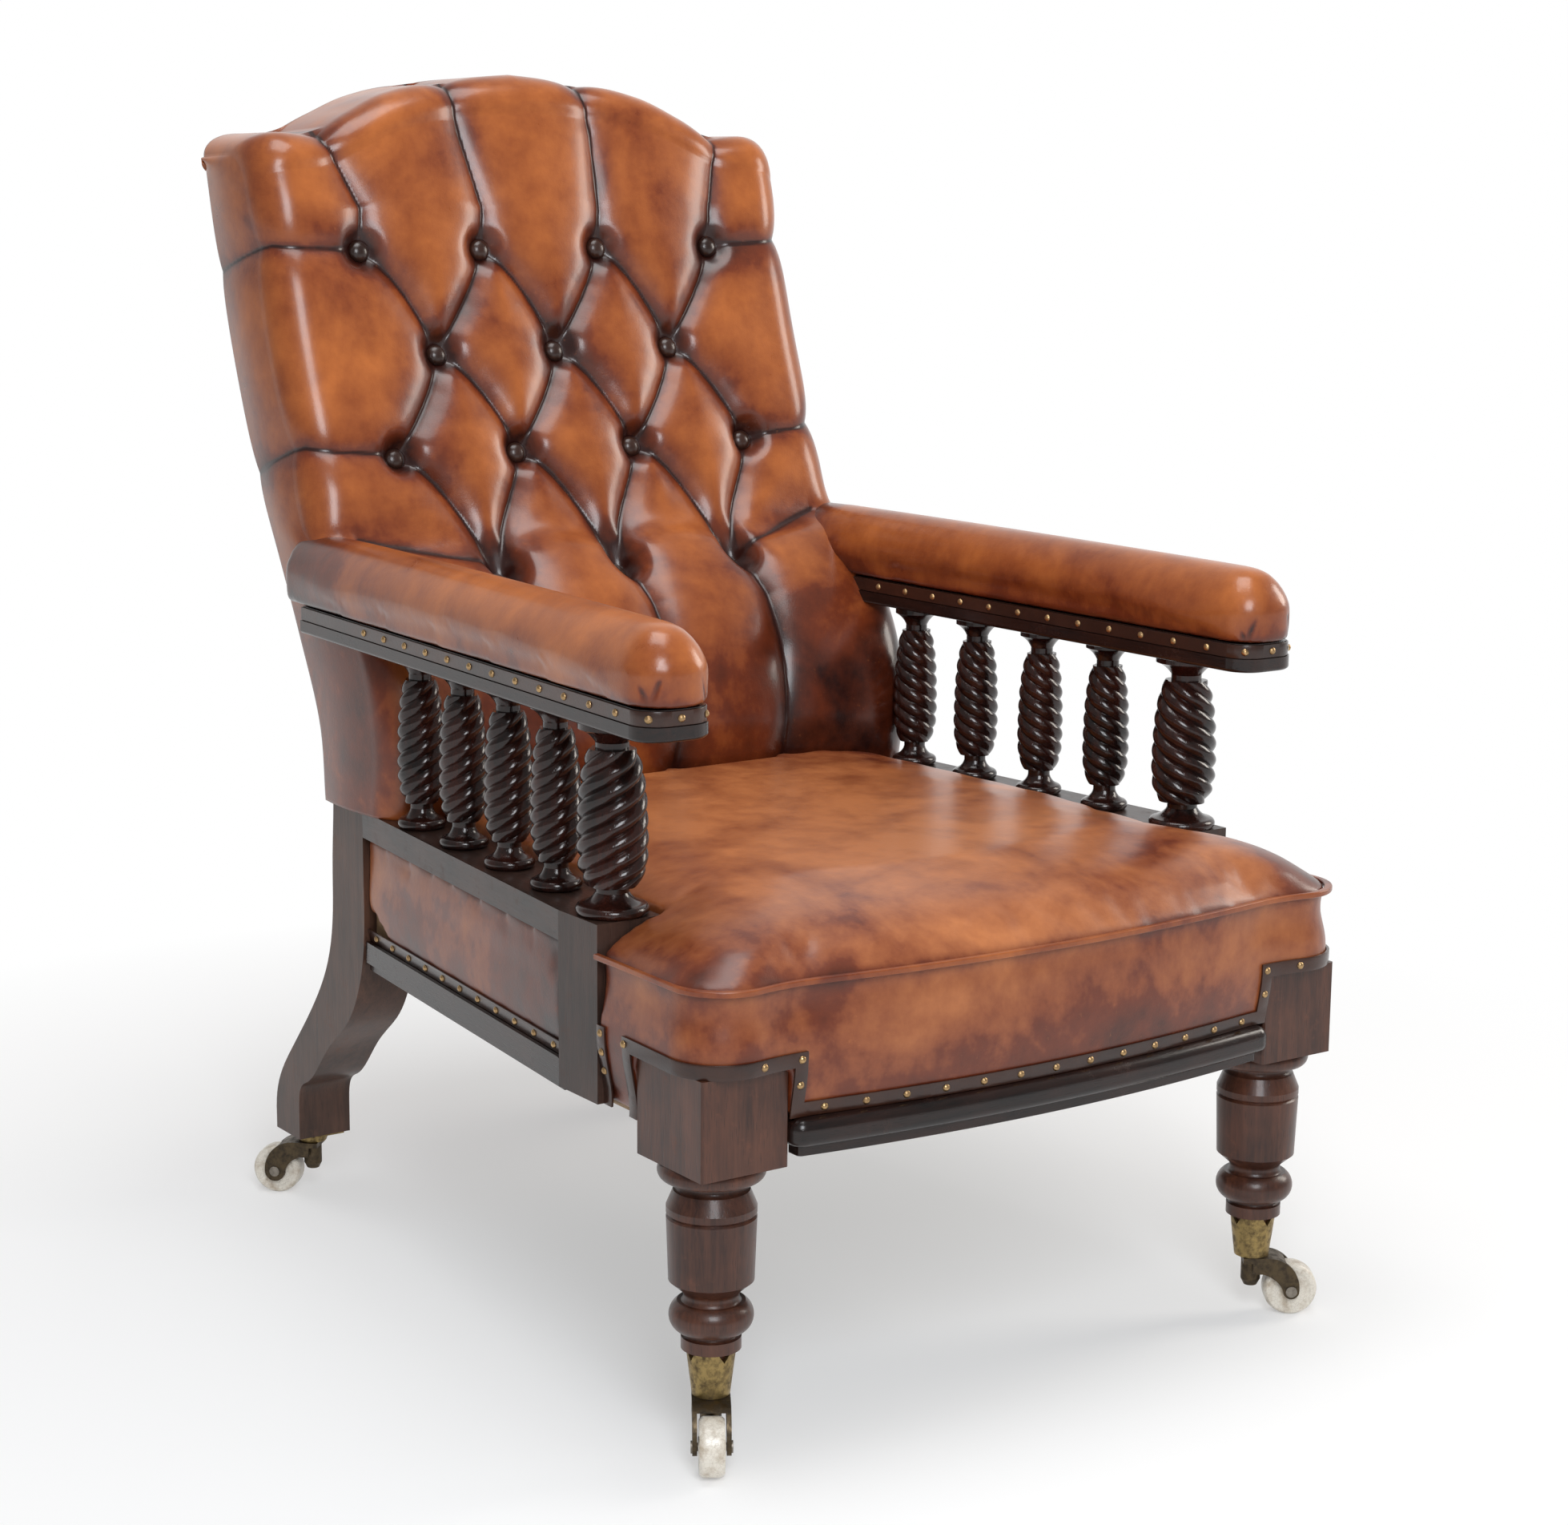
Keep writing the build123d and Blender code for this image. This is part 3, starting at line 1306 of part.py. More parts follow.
# Castors: a brass socket on the leg, a fork turning in it, an axle and a ceramic wheel
fork_inner = wheel_width / 2 + fork_side_gap
fork_outer = fork_inner + fork_arm_thickness
plate_bottom = fork_top - fork_plate_height
socket_low = fork_top + soft_gap
castor_places = {
    "front_right": (-block_centre_x, leg_axis_y),
    "front_left": (block_centre_x, leg_axis_y),
    "rear_right": (-rear_axis_x, rear_axis_y),
    "rear_left": (rear_axis_x, rear_axis_y),
}
for corner, (x, y) in castor_places.items():
    is_front = corner.startswith("front")
    pin_height = pintle_height if is_front else rear_pintle_height
    ear = fork_ear_radius if is_front else rear_ear_radius
    placed = Location((x, y, 0), (0, 0, castor_headings[corner]))

    with BuildPart() as castor_socket:
        with BuildSketch(Plane((x, y, 0), x_dir=(1, 0, 0), z_dir=(0, -1, 0))):
            with BuildLine():
                bore = pintle_radius + running_gap
                bore_top = fork_top + pin_height + pintle_end_gap
                if is_front:
                    Polyline(
                        (0, bore_top), (bore, bore_top), (bore, socket_low),
                        (cup_foot_radius, socket_low), (cup_top_radius, cup_top),
                        (cup_top_radius - cup_wall, cup_top),
                        (cup_foot_radius - cup_wall, fork_top + cup_floor),
                        (0, fork_top + cup_floor), close=True,
                    )
                else:
                    boss_top = fork_top + rear_cup_height
                    Polyline(
                        (0, rear_foot), (0, bore_top), (bore, bore_top), (bore, socket_low),
                        (rear_boss_foot_radius, socket_low), (rear_cup_radius, boss_top),
                        (rear_cup_radius, rear_foot), close=True,
                    )
            make_face()
        revolve(axis=Axis((x, y, 0), (0, 0, 1)))
        if is_front:
            for quarter in range(cup_notches):
                notch_plane = Plane(
                    (x, y, 0), x_dir=(math.cos(quarter * math.pi / 2), math.sin(quarter * math.pi / 2), 0),
                    z_dir=(math.sin(quarter * math.pi / 2), -math.cos(quarter * math.pi / 2), 0),
                )
                with BuildSketch(notch_plane):
                    Polygon(
                        (-cup_notch_width / 2, cup_top + cup_wall), (0, cup_top - cup_notch_depth),
                        (cup_notch_width / 2, cup_top + cup_wall), align=None,
                    )
                extrude(amount=cup_top_radius + cup_lip, mode=Mode.SUBTRACT)
        else:
            with BuildSketch(Plane.XY.offset(boss_top)):
                with Locations((x, stile_front + leg_rake * rear_foot_middle_share)):
                    Rectangle(rear_plate_width, rear_plate_depth)
            extrude(amount=rear_plate_thickness)
            with Locations((x, y, socket_low)):
                Cylinder(
                    bore, bore_top - socket_low, align=(Align.CENTER, Align.CENTER, Align.MIN),
                    mode=Mode.SUBTRACT,
                )
    save(castor_socket, f"castor_socket_{corner}")

    with BuildPart() as castor_fork:
        with BuildSketch(Plane.XZ):
            with BuildLine():
                shoulder = (castor_trail / 2, fork_top)
                nose = (castor_trail + ear, wheel_radius)
                heel = (castor_trail - ear, wheel_radius)
                throat = (fork_hub_radius, plate_bottom - fork_plate_height * 2)
                back_top = (-fork_hub_radius, fork_top)
                Line(back_top, shoulder)
                reach = math.sqrt(0.5)
                ThreePointArc(
                    shoulder,
                    (castor_trail / 2 + (nose[0] - shoulder[0]) * reach,
                     wheel_radius + (fork_top - wheel_radius) * reach),
                    nose,
                )
                ThreePointArc(nose, (castor_trail, wheel_radius - ear), heel)
                ThreePointArc(
                    heel,
                    ((heel[0] + throat[0]) / 2 + fork_heel_hollow,
                     (heel[1] + throat[1]) / 2 + fork_heel_hollow),
                    throat,
                )
                Polyline(throat, (-fork_hub_radius, throat[1]), back_top)
            make_face()
        extrude(amount=fork_outer, both=True)
        cut_box((-castor_trail, -fork_inner, 0), (2 * castor_trail, fork_inner, plate_bottom))
        cut_box((-castor_trail, -2 * fork_outer, 0), (0, 2 * fork_outer, plate_bottom))
        with BuildSketch(Plane.XZ):
            with BuildLine():
                Polyline(
                    (0, fork_hub_bottom), (fork_hub_tip_radius, fork_hub_bottom),
                    (fork_hub_radius, fork_hub_bottom + fork_tip_height), (fork_hub_radius, fork_top),
                    (pintle_radius, fork_top), (pintle_radius, fork_top + pin_height),
                    (0, fork_top + pin_height), close=True,
                )
            make_face()
        revolve(axis=Axis.Z)
        with Locations((castor_trail, 0, wheel_radius)):
            Cylinder(axle_radius, 2 * (fork_outer + cut_overrun), rotation=(90, 0, 0), mode=Mode.SUBTRACT)
    castor_fork.part = castor_fork.part.moved(placed)
    save(castor_fork, f"castor_fork_{corner}")

    with BuildPart() as castor_axle:
        Cylinder(axle_radius, 2 * fork_outer, rotation=(90, 0, 0))
        for way in (-1, 1):
            with Locations((0, way * (fork_outer + axle_head_height / 2), 0)):
                Cylinder(axle_head_radius, axle_head_height, rotation=(90, 0, 0))
    castor_axle.part = castor_axle.part.moved(placed * Location((castor_trail, 0, wheel_radius)))
    save(castor_axle, f"castor_axle_{corner}")

    with BuildPart() as castor_wheel:
        with BuildSketch(Plane.XY):
            with BuildLine():
                half = wheel_width / 2
                wheel_bore = axle_radius + running_gap
                rim = wheel_radius - wheel_shoulder
                for way in (-1, 1):
                    Polyline(
                        (wheel_bore, 0), (wheel_bore, way * half), (wheel_boss_radius, way * half),
                        (wheel_boss_radius + wheel_side_recess, way * (half - wheel_side_recess)),
                        (rim - wheel_rim_width, way * (half - wheel_side_recess)),
                        (rim - wheel_rim_width / 2, way * (half - wheel_side_recess / 2)),
                        (rim, way * (half - wheel_side_recess / 2)),
                    )
                    ThreePointArc(
                        (rim, way * (half - wheel_side_recess / 2)),
                        (wheel_radius - wheel_tread_fall, way * (half + wheel_tread_half) / 2),
                        (wheel_radius, way * wheel_tread_half),
                    )
                Line((wheel_radius, -wheel_tread_half), (wheel_radius, wheel_tread_half))
            make_face()
        revolve(axis=Axis.Y)
    castor_wheel.part = castor_wheel.part.moved(placed * Location((castor_trail, 0, wheel_radius)))
    save(castor_wheel, f"castor_wheel_{corner}")
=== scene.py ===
# %% [markdown]
# # A library armchair in leather and mahogany
# The frame, legs, rails, spindles and castors come from the solid model and keep their shape. What is made
# here is the upholstery, the finishes, the floor, the lamps and the camera. Everything is in metres.

# %% The frame
import math

import bpy
import bmesh
import numpy as np
from mathutils import Euler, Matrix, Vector


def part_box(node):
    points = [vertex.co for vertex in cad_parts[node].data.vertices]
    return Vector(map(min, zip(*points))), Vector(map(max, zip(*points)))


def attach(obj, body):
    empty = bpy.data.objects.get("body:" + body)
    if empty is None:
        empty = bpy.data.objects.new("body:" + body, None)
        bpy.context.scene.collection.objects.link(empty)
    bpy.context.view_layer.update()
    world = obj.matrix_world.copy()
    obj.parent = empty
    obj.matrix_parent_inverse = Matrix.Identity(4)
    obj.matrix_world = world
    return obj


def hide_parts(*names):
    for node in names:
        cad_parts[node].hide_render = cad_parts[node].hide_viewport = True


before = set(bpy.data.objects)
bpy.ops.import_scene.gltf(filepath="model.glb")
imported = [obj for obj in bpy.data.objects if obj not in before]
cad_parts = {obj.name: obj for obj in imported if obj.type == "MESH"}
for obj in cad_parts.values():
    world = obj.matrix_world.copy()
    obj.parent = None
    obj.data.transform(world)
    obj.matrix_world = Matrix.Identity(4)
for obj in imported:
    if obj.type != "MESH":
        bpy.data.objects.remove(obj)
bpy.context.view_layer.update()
mm = 0.001
side_names = ("right", "left")
corners = ("front_right", "front_left", "rear_right", "rear_left")


def add_object(name, data):
    """Put a new object into the scene."""
    made = bpy.data.objects.new(name, data)
    bpy.context.scene.collection.objects.link(made)
    return made


# %% [markdown]
# ## The camera
# The photograph was taken from the sitter's right, a little above the arms, with a long lens. The place was
# worked out from the straight edges of the chair, so the render and the photograph can be laid over each
# other. The small roll and shift come from the same working.

# %% The camera
camera_place = Vector((-1.459, -2.165, 0.942))
camera_target = Vector((-0.0434, -0.1307, 0.4549))
camera_roll = math.radians(0.49)
camera_data = bpy.data.cameras.new("camera")
camera_data.lens = 72.26
camera_data.sensor_width = 36
camera_data.shift_x = 0.0023
camera_data.shift_y = -0.0011
camera = add_object("camera", camera_data)
looking = (camera_target - camera_place).to_track_quat("-Z", "Y")
camera.location = camera_place
camera.rotation_euler = (looking.to_matrix() @ Euler((0, 0, camera_roll)).to_matrix()).to_euler()
bpy.context.scene.camera = camera
bpy.context.scene.view_settings.view_transform = "Standard"
print("camera to chair", round((camera_target - camera_place).length, 3))

# %% [markdown]
# ## Shader maths as plain expressions
# A finish is a small sum of patterns: grain, stains, wear. Written as nodes that sum is long, so a value in
# the shader is wrapped in a class whose operators add the Math nodes. `grain * 0.5 + 0.2` then reads as it
# works. Colours are mixed by a Mix node, since a Math node turns them grey.

# %% Values in a shader
class Shade:
    """A number that varies over a surface, with the operators of a plain number."""

    def __init__(self, graph, socket):
        self.graph = graph
        self.socket = socket

    def math(self, operation, *others, clamp=False):
        """The value put through a Math node, with other values if it takes them."""
        settings = {"operation": operation, "use_clamp": clamp}
        return self.graph.node("ShaderNodeMath", settings, dict(enumerate((self, *others))))

    def __add__(self, other):
        return self.math("ADD", other)

    def __sub__(self, other):
        return self.math("SUBTRACT", other)

    def __mul__(self, other):
        return self.math("MULTIPLY", other)

    def __rsub__(self, other):
        return self * -1 + other

    __radd__ = __add__
    __rmul__ = __mul__

    def kept(self):
        """The value held between nought and one."""
        return self.math("ADD", 0, clamp=True)

    def between(self, low, high):
        """Nought at low, one at high, straight between them and held outside."""
        return ((self - low) * (1 / (high - low))).kept()


print("a shade can be", [name for name in vars(Shade) if not name.startswith("__")])


# %% One way of adding nodes, for materials and the world alike
class Graph:
    """A tree of shader nodes."""

    def __init__(self, tree):
        self.tree = tree

    def node(self, kind, settings=None, inputs=None, output=0):
        """Add a node: settings first, then the values or links of its sockets."""
        made = self.tree.nodes.new(kind)
        for name, value in (settings or {}).items():
            setattr(made, name, value)
        for name, value in (inputs or {}).items():
            self.feed(made.inputs[name], value)
        return Shade(self, made.outputs[output])

    def feed(self, socket, value):
        """Give a socket a link or a constant."""
        if isinstance(value, Shade):
            self.tree.links.new(value.socket, socket)
        elif socket.type == "RGBA" and len(value) == 3:
            socket.default_value = (*value, 1)
        else:
            socket.default_value = value

    def seen_rays(self):
        """One for rays from the camera, by mirror or through glass, nought for the light itself."""
        kinds = [
            self.node("ShaderNodeLightPath", output=name)
            for name in ("Is Camera Ray", "Is Glossy Ray", "Is Transmission Ray")
        ]
        return kinds[0].math("MAXIMUM", kinds[1]).math("MAXIMUM", kinds[2])


print("a graph can", [name for name in vars(Graph) if not name.startswith("__")])

# %% A finish
# Sockets that are told apart by number: the Mix node has several of each name
attribute_value = 2
mix_first, mix_second, mix_result = 6, 7, 2


class Finish(Graph):
    """A material built from expressions, on the principled shader."""

    def __init__(self, name):
        self.material = bpy.data.materials.new(name)
        self.material.use_nodes = True
        super().__init__(self.material.node_tree)
        self.shader = self.tree.nodes["Principled BSDF"]
        self.place = self.node("ShaderNodeTexCoord", output="Object")

    def scaled(self, size, stretch):
        """Place on the piece, counted in steps of size metres, longer along an axis that is stretched."""
        scale = tuple(1 / (size * part) for part in stretch)
        return self.node("ShaderNodeMapping", None, {"Vector": self.place, "Scale": scale})

    def noise(self, size, detail=3.0, roughness=0.55, stretch=(1, 1, 1), twist=0.0):
        """Soft noise whose blots are about size metres across."""
        inputs = {
            "Vector": self.scaled(size, stretch), "Scale": 1.0, "Detail": detail,
            "Roughness": roughness, "Distortion": twist,
        }
        return self.node("ShaderNodeTexNoise", None, inputs)

    def cells(self, size, feature="F1", stretch=(1, 1, 1)):
        """Distance pattern of cells about size metres across."""
        inputs = {"Vector": self.scaled(size, stretch), "Scale": 1.0}
        return self.node("ShaderNodeTexVoronoi", {"feature": feature}, inputs)

    def mix(self, share, first, second):
        """Colour between two colours."""
        inputs = {0: share, mix_first: first, mix_second: second}
        return self.node("ShaderNodeMix", {"data_type": "RGBA"}, inputs, output=mix_result)

    def painted(self, name):
        """A value painted on the mesh, nought where there is none."""
        return self.node("ShaderNodeAttribute", {"attribute_name": name}, output=attribute_value)

    def bump(self, height, depth, strength):
        """Normal bent by a height whose full swing is depth metres."""
        inputs = {"Height": height, "Distance": depth, "Strength": strength}
        return self.node("ShaderNodeBump", None, inputs)

    def set(self, **values):
        """Set or link the principled shader's sockets, spaces written as underlines."""
        for name, value in values.items():
            self.feed(self.shader.inputs[name.replace("_", " ")], value)


def dress(node_names, material):
    """Give the solids' own objects a finish."""
    for name in node_names:
        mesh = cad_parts[name].data
        mesh.materials.clear()
        mesh.materials.append(material)


print("nodes to dress", len(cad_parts))

# %% [markdown]
# ## Leather coloured by hand, with painted shade
# The hides were dyed tan and waxed. Use has worn the high places back to gold. The folds can't be found by a
# shader, so each mesh carries a painted value called shade. Below nought the leather is darker: painted
# shade in the folds, round the buttons and where pieces meet, and a darker tone towards some edges. Above
# nought it is worn. Cloudy noise breaks the colour up, fine cells give the pores, and a thin coat gives the
# wax its shine.
# Cloudy noise breaks the colour up, fine cells give the pores, and a thin coat gives the wax its shine.

# %% Leather
tan_gold = (0.44, 0.128, 0.028)
tan_brown = (0.165, 0.030, 0.0080)
stain_and_shade_dark = (0.024, 0.0046, 0.0028)


def leather(name, high=tan_gold, middle=tan_brown, low=stain_and_shade_dark, lift=0.0, shine=0.29):
    """Hand-coloured leather between three colours; lift moves it towards the golden one."""
    finish = Finish(name)
    shade = finish.painted("shade")
    clouds = finish.noise(0.10, detail=4, twist=0.6)
    patches = finish.noise(0.035, detail=5, roughness=0.62)
    rubs = finish.noise(0.012, detail=3, roughness=0.6, stretch=(1, 1, 2.2))
    # The painted shade value darkens the leather in folds, round buttons and where pieces meet; the noises
    # vary the tone at random, so the darkest colour stands for stain and painted shade alike
    tone = (clouds - 0.5) * 1.9 + (patches - 0.5) * 1.1 + (rubs - 0.5) * 0.3 + shade + lift
    worn = (tone + 0.24).kept()
    stain_and_shade = (tone * -1.2 - 0.12).kept()
    colour = finish.mix(stain_and_shade, finish.mix(worn, middle, high), low)
    pores = finish.cells(0.0011)
    creases = finish.noise(0.004, detail=4, roughness=0.65, stretch=(1, 1, 0.6))
    scuffs = finish.noise(0.006, detail=6, roughness=0.7).between(0.62, 0.74)
    finish.set(
        Base_Color=finish.mix(scuffs * 0.22, colour, high),
        Roughness=patches * 0.22 + scuffs * 0.12 + (shine - 0.08),
        Coat_Weight=0.50,
        Coat_Roughness=shine * 0.72,
        Specular_IOR_Level=0.28,
        Normal=finish.bump(pores * 0.35 + creases, 0.00030, 0.45),
    )
    return finish.material


hide = leather("hand-coloured_leather_with_painted_shade")
arm_hide = leather("armrest_leather", lift=0.18)
seat_hide = leather("seat_leather", high=(0.50, 0.172, 0.055), lift=0.08, shine=0.38)
piping_hide = leather("piping_leather", lift=-0.05, shine=0.34)
gimp_hide = leather(
    "gimp_leather", high=(0.060, 0.019, 0.009), middle=(0.028, 0.010, 0.006), low=(0.008, 0.004, 0.003),
)
button_hide = leather(
    "button_leather", high=(0.050, 0.017, 0.009), middle=(0.022, 0.008, 0.005), low=(0.008, 0.004, 0.003),
)
print("nodes in the leather", len(hide.node_tree.nodes))

# %% [markdown]
# ## Mahogany
# The wood is old polished mahogany, nearly black where the polish has built up and browner on the square
# blocks and legs. Stretched noise gives the grain: long along the piece, fine across it. Short dark pores
# are cut by cells stretched the same way, and a soft noise rubs patches of it lighter. The hidden rails are
# of pale beech, as they usually are.

# %% Wood
long_in_x = (12, 1, 1)
long_in_y = (1, 12, 1)
long_in_z = (1, 1, 12)
rubbed_lighter = 1.9
pore_darker = 0.35


def mahogany(name, light, dark, along, shine, rubbed=0.25):
    """Polished wood with its grain along one axis."""
    finish = Finish(name)
    figure = finish.noise(0.010, detail=5, roughness=0.6, stretch=along, twist=0.8)
    fine = finish.noise(0.0022, detail=3, roughness=0.6, stretch=along)
    pores = finish.cells(0.0016, stretch=along).between(0.28, 0.10)
    clouds = finish.noise(0.06, detail=3)
    tone = figure * 0.62 + fine * 0.30 + (clouds - 0.5) * 0.7
    colour = finish.mix(tone.between(0.30, 0.72), dark, light)
    wear = finish.noise(0.020, detail=5, roughness=0.7).between(0.58, 0.72)
    worn = finish.mix(wear * rubbed, colour, tuple(part * rubbed_lighter for part in light))
    finish.set(
        Base_Color=finish.mix(pores * 0.55, worn, tuple(part * pore_darker for part in dark)),
        Roughness=fine * 0.16 + wear * 0.14 + (shine - 0.06),
        Coat_Weight=0.18,
        Coat_Roughness=0.12,
        Specular_IOR_Level=0.38,
        Normal=finish.bump(fine * 0.5 - pores * 0.5, 0.00025, 0.5),
    )
    return finish.material


brown_light = (0.115, 0.040, 0.021)
brown_dark = (0.034, 0.012, 0.0075)
black_light = (0.030, 0.0105, 0.0070)
black_dark = (0.0060, 0.0034, 0.0030)
leg_wood = mahogany("leg_mahogany", brown_light, brown_dark, long_in_z, 0.34)
stile_wood = mahogany("rear_leg_mahogany", (0.100, 0.046, 0.029), (0.036, 0.018, 0.012), long_in_z, 0.40)
post_wood = mahogany("post_mahogany", (0.062, 0.030, 0.021), (0.020, 0.011, 0.008), long_in_z, 0.40)
rail_wood = mahogany("rail_mahogany", (0.060, 0.028, 0.020), (0.016, 0.009, 0.007), long_in_y, 0.36)
front_moulding_wood = mahogany("front_moulding_mahogany", black_light, black_dark, long_in_x, 0.22)
side_moulding_wood = mahogany("side_moulding_mahogany", black_light, black_dark, long_in_y, 0.22)
spindle_wood = mahogany("spindle_mahogany", (0.042, 0.0100, 0.0060), black_dark, long_in_z, 0.16)
beech_wood = mahogany("frame_beech", (0.42, 0.28, 0.16), (0.26, 0.16, 0.085), long_in_x, 0.62, 0.05)
for side_name in side_names:
    spindles = [f"spindle_{place}_{side_name}" for place in ("front", "1", "2", "3", "4")]
    dress([f"front_leg_{side_name}"], leg_wood)
    dress([f"rear_leg_{side_name}"], stile_wood)
    dress([f"arm_post_{side_name}"], post_wood)
    dress([f"spindle_rail_{side_name}"], rail_wood)
    dress([f"side_rail_moulding_{side_name}", f"armrest_rail_{side_name}"], side_moulding_wood)
    dress(spindles, spindle_wood)
    dress([f"side_seat_rail_{side_name}"], beech_wood)
dress(["front_rail_moulding"], front_moulding_wood)
dress(["crest_rail", "lower_back_rail", "front_seat_rail", "rear_seat_rail"], beech_wood)
print("nodes in the mahogany", len(leg_wood.node_tree.nodes))

# %% [markdown]
# ## Brass, bronze, steel and pottery
# The sockets and nails are brass that has gone dull and brown in its hollows. The forks are a dark bronze.
# The wheels are off-white pottery, stained and finely crazed by years of floors.

# %% Metals
def old_metal(name, bright, dull, shine, grime=0.5):
    """Cast metal, bright where it is rubbed and dull where dirt has settled."""
    finish = Finish(name)
    dirt = finish.noise(0.006, detail=5, roughness=0.65).between(0.42, 0.66)
    speck = finish.noise(0.0012, detail=2)
    finish.set(
        Base_Color=finish.mix(dirt * grime + speck * 0.2, bright, dull),
        Metallic=1.0 - dirt * (grime * 0.45),
        Roughness=dirt * 0.25 + speck * 0.08 + shine,
        Normal=finish.bump(speck + dirt * -0.6, 0.0002, 0.5),
    )
    return finish.material


socket_brass = old_metal("old_brass", (0.36, 0.26, 0.105), (0.085, 0.056, 0.026), 0.34, 0.8)
nail_brass = old_metal("nail_brass", (0.50, 0.33, 0.16), (0.17, 0.095, 0.045), 0.24, 0.6)
fork_bronze = old_metal("fork_bronze", (0.110, 0.082, 0.050), (0.030, 0.022, 0.016), 0.38, 0.7)
axle_steel = old_metal("axle_steel", (0.30, 0.27, 0.23), (0.10, 0.08, 0.06), 0.36)
spring_wire = old_metal("spring_wire", (0.32, 0.31, 0.30), (0.16, 0.15, 0.14), 0.35)
dress(["gimp_nails"], nail_brass)
dress(["seat_springs"], spring_wire)
print("nodes in the brass", len(socket_brass.node_tree.nodes))


# %% Pottery
def pottery(name):
    """Off-white stained pottery with fine crazing."""
    finish = Finish(name)
    stain = finish.noise(0.011, detail=5, roughness=0.65).between(0.45, 0.75)
    crazing = finish.cells(0.0030, feature="DISTANCE_TO_EDGE").between(0.05, 0.0)
    clean = finish.mix(stain, (0.76, 0.71, 0.62), (0.40, 0.31, 0.21))
    finish.set(
        Base_Color=finish.mix(crazing * 0.35, clean, (0.26, 0.19, 0.12)),
        Roughness=stain * 0.25 + 0.30,
        Coat_Weight=0.2,
        Normal=finish.bump(crazing * -1.0 + stain * 0.4, 0.0002, 0.4),
    )
    return finish.material


wheel_pottery = pottery("castor_pottery")
for corner in corners:
    dress([f"castor_socket_{corner}"], socket_brass)
    dress([f"castor_fork_{corner}"], fork_bronze)
    dress([f"castor_axle_{corner}"], axle_steel)
    dress([f"castor_wheel_{corner}"], wheel_pottery)
print("castors dressed", len(corners))

# %% Woven stuffs under the seat
wave_value = 1
# At scale one a wave texture has about three bands a metre
wave_scale = 0.31


def weave(name, warp, weft, size):
    """Plain weave of threads about size metres wide."""
    finish = Finish(name)
    inputs = {"Vector": finish.place, "Scale": wave_scale / size, "Distortion": 0.4}
    across, along = [
        finish.node("ShaderNodeTexWave", {"bands_direction": axis}, inputs, output=wave_value)
        for axis in ("X", "Y")
    ]
    fuzz = finish.noise(0.003, detail=3)
    finish.set(
        Base_Color=finish.mix(across * 0.5 + fuzz * 0.4, warp, weft),
        Roughness=0.92,
        Normal=finish.bump(across * along + fuzz * 0.3, 0.0004, 0.7),
    )
    return finish.material


jute = weave("jute_webbing", (0.46, 0.34, 0.20), (0.28, 0.19, 0.10), 0.0022)
black_cotton = weave("black_cotton", (0.022, 0.021, 0.020), (0.045, 0.042, 0.040), 0.0009)
dress(["seat_webbing"], jute)
dress(["dust_cover"], black_cotton)
print("materials", len(bpy.data.materials))

# %% [markdown]
# ## The buttoned back
# Deep buttoning pulls the leather down to the frame at each button. The spare leather between two buttons
# is folded under in a pleat, and the stuffing swells between the pleats. Cloth can't fold itself so neatly
# in a short simulation, so the sheet is laid out by a formula. It starts as the plain curved back, with its
# sides and a short hem turned down behind the crest, and each point sinks by how near it lies to a pleat and
# to a button.

# %% Two curves for shapes and paint alike
tiny = 1e-12


def ramp(value, start, stop):
    """Nought at start, one at stop, straight between them and held outside."""
    return np.clip((value - start) / (stop - start), 0, 1)


def near(distance, width, power=1):
    """One at no distance, falling off over a width; a higher power leaves a flatter top."""
    return np.exp(-(distance / width) ** power)


print("halfway up a ramp", ramp(1, 0, 2), "and a width away", round(float(near(1, 1)), 2))

# %% Outline of the back, seen from the side
block_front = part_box("front_leg_left")[0][1]
stile_front = block_front + 578 * mm
rear_edge = block_front + 850 * mm
rail_top = 386 * mm
shoulder_height = 940 * mm
back_rake = 272 * mm
back_height = 614 * mm
back_half = 271.5 * mm
top_round = 32 * mm
face_slope = math.tan(math.radians(18.4))
rear_points = 60
curve_steps = 24
front_shares = (
    (-0.222, 0.0), (-0.250, 0.09), (-0.2, 0.185), (-0.09, 0.262), (0.075, 0.335),
    (0.205, 0.376), (0.3125, 0.495), (0.4375, 0.637), (0.55, 0.82),
)
rear_shares = (
    (0.21, 0.0), (0.24, 0.107), (0.368, 0.2215), (0.507, 0.329), (0.651, 0.4365), (0.787, 0.58),
    (0.901, 0.728), (0.967, 0.84),
)


def side_point(shares):
    """Depth and height of a point of the back's side outline."""
    return np.array((stile_front + shares[0] * back_rake, rail_top + shares[1] * back_height))


def smooth_line(points, count):
    """Evenly spaced points on a Catmull-Rom curve through the given points."""
    points = np.array(points)
    ends = np.vstack((2 * points[0] - points[1], points, 2 * points[-1] - points[-2]))
    fine = []
    for before, start, stop, after in zip(ends, ends[1:], ends[2:], ends[3:]):
        for share in np.linspace(0, 1, curve_steps, endpoint=False):
            fine.append(0.5 * (
                2 * start + (stop - before) * share
                + (2 * before - 5 * start + 4 * stop - after) * share ** 2
                + (3 * start - before - 3 * stop + after) * share ** 3
            ))
    fine = np.array(fine + [points[-1]])
    steps = np.concatenate(((0,), np.cumsum(np.linalg.norm(np.diff(fine, axis=0), axis=1))))
    places = np.linspace(0, steps[-1], count)
    return np.column_stack([np.interp(places, steps, fine[:, axis]) for axis in range(fine.shape[1])])


front_line = [side_point(shares) for shares in front_shares]
rear_line = [side_point(shares) for shares in rear_shares] + [(rear_edge, shoulder_height)]
rear_line = smooth_line(rear_line, rear_points)
print("depth of the back at the seat", round(rear_line[0][0] - front_line[0][0], 3))

# %% Outline of the crest, seen from the front
crest_top = 1000 * mm
arch_rise = 51 * mm
arch_points = 120
arch_shares = (
    (0.0, 1.0), (0.277, 0.9), (0.48, 0.65), (0.628, 0.33), (0.757, 0.07), (0.868, 0.0), (1.0, 0.0),
)
arch_line = smooth_line(arch_shares, arch_points)


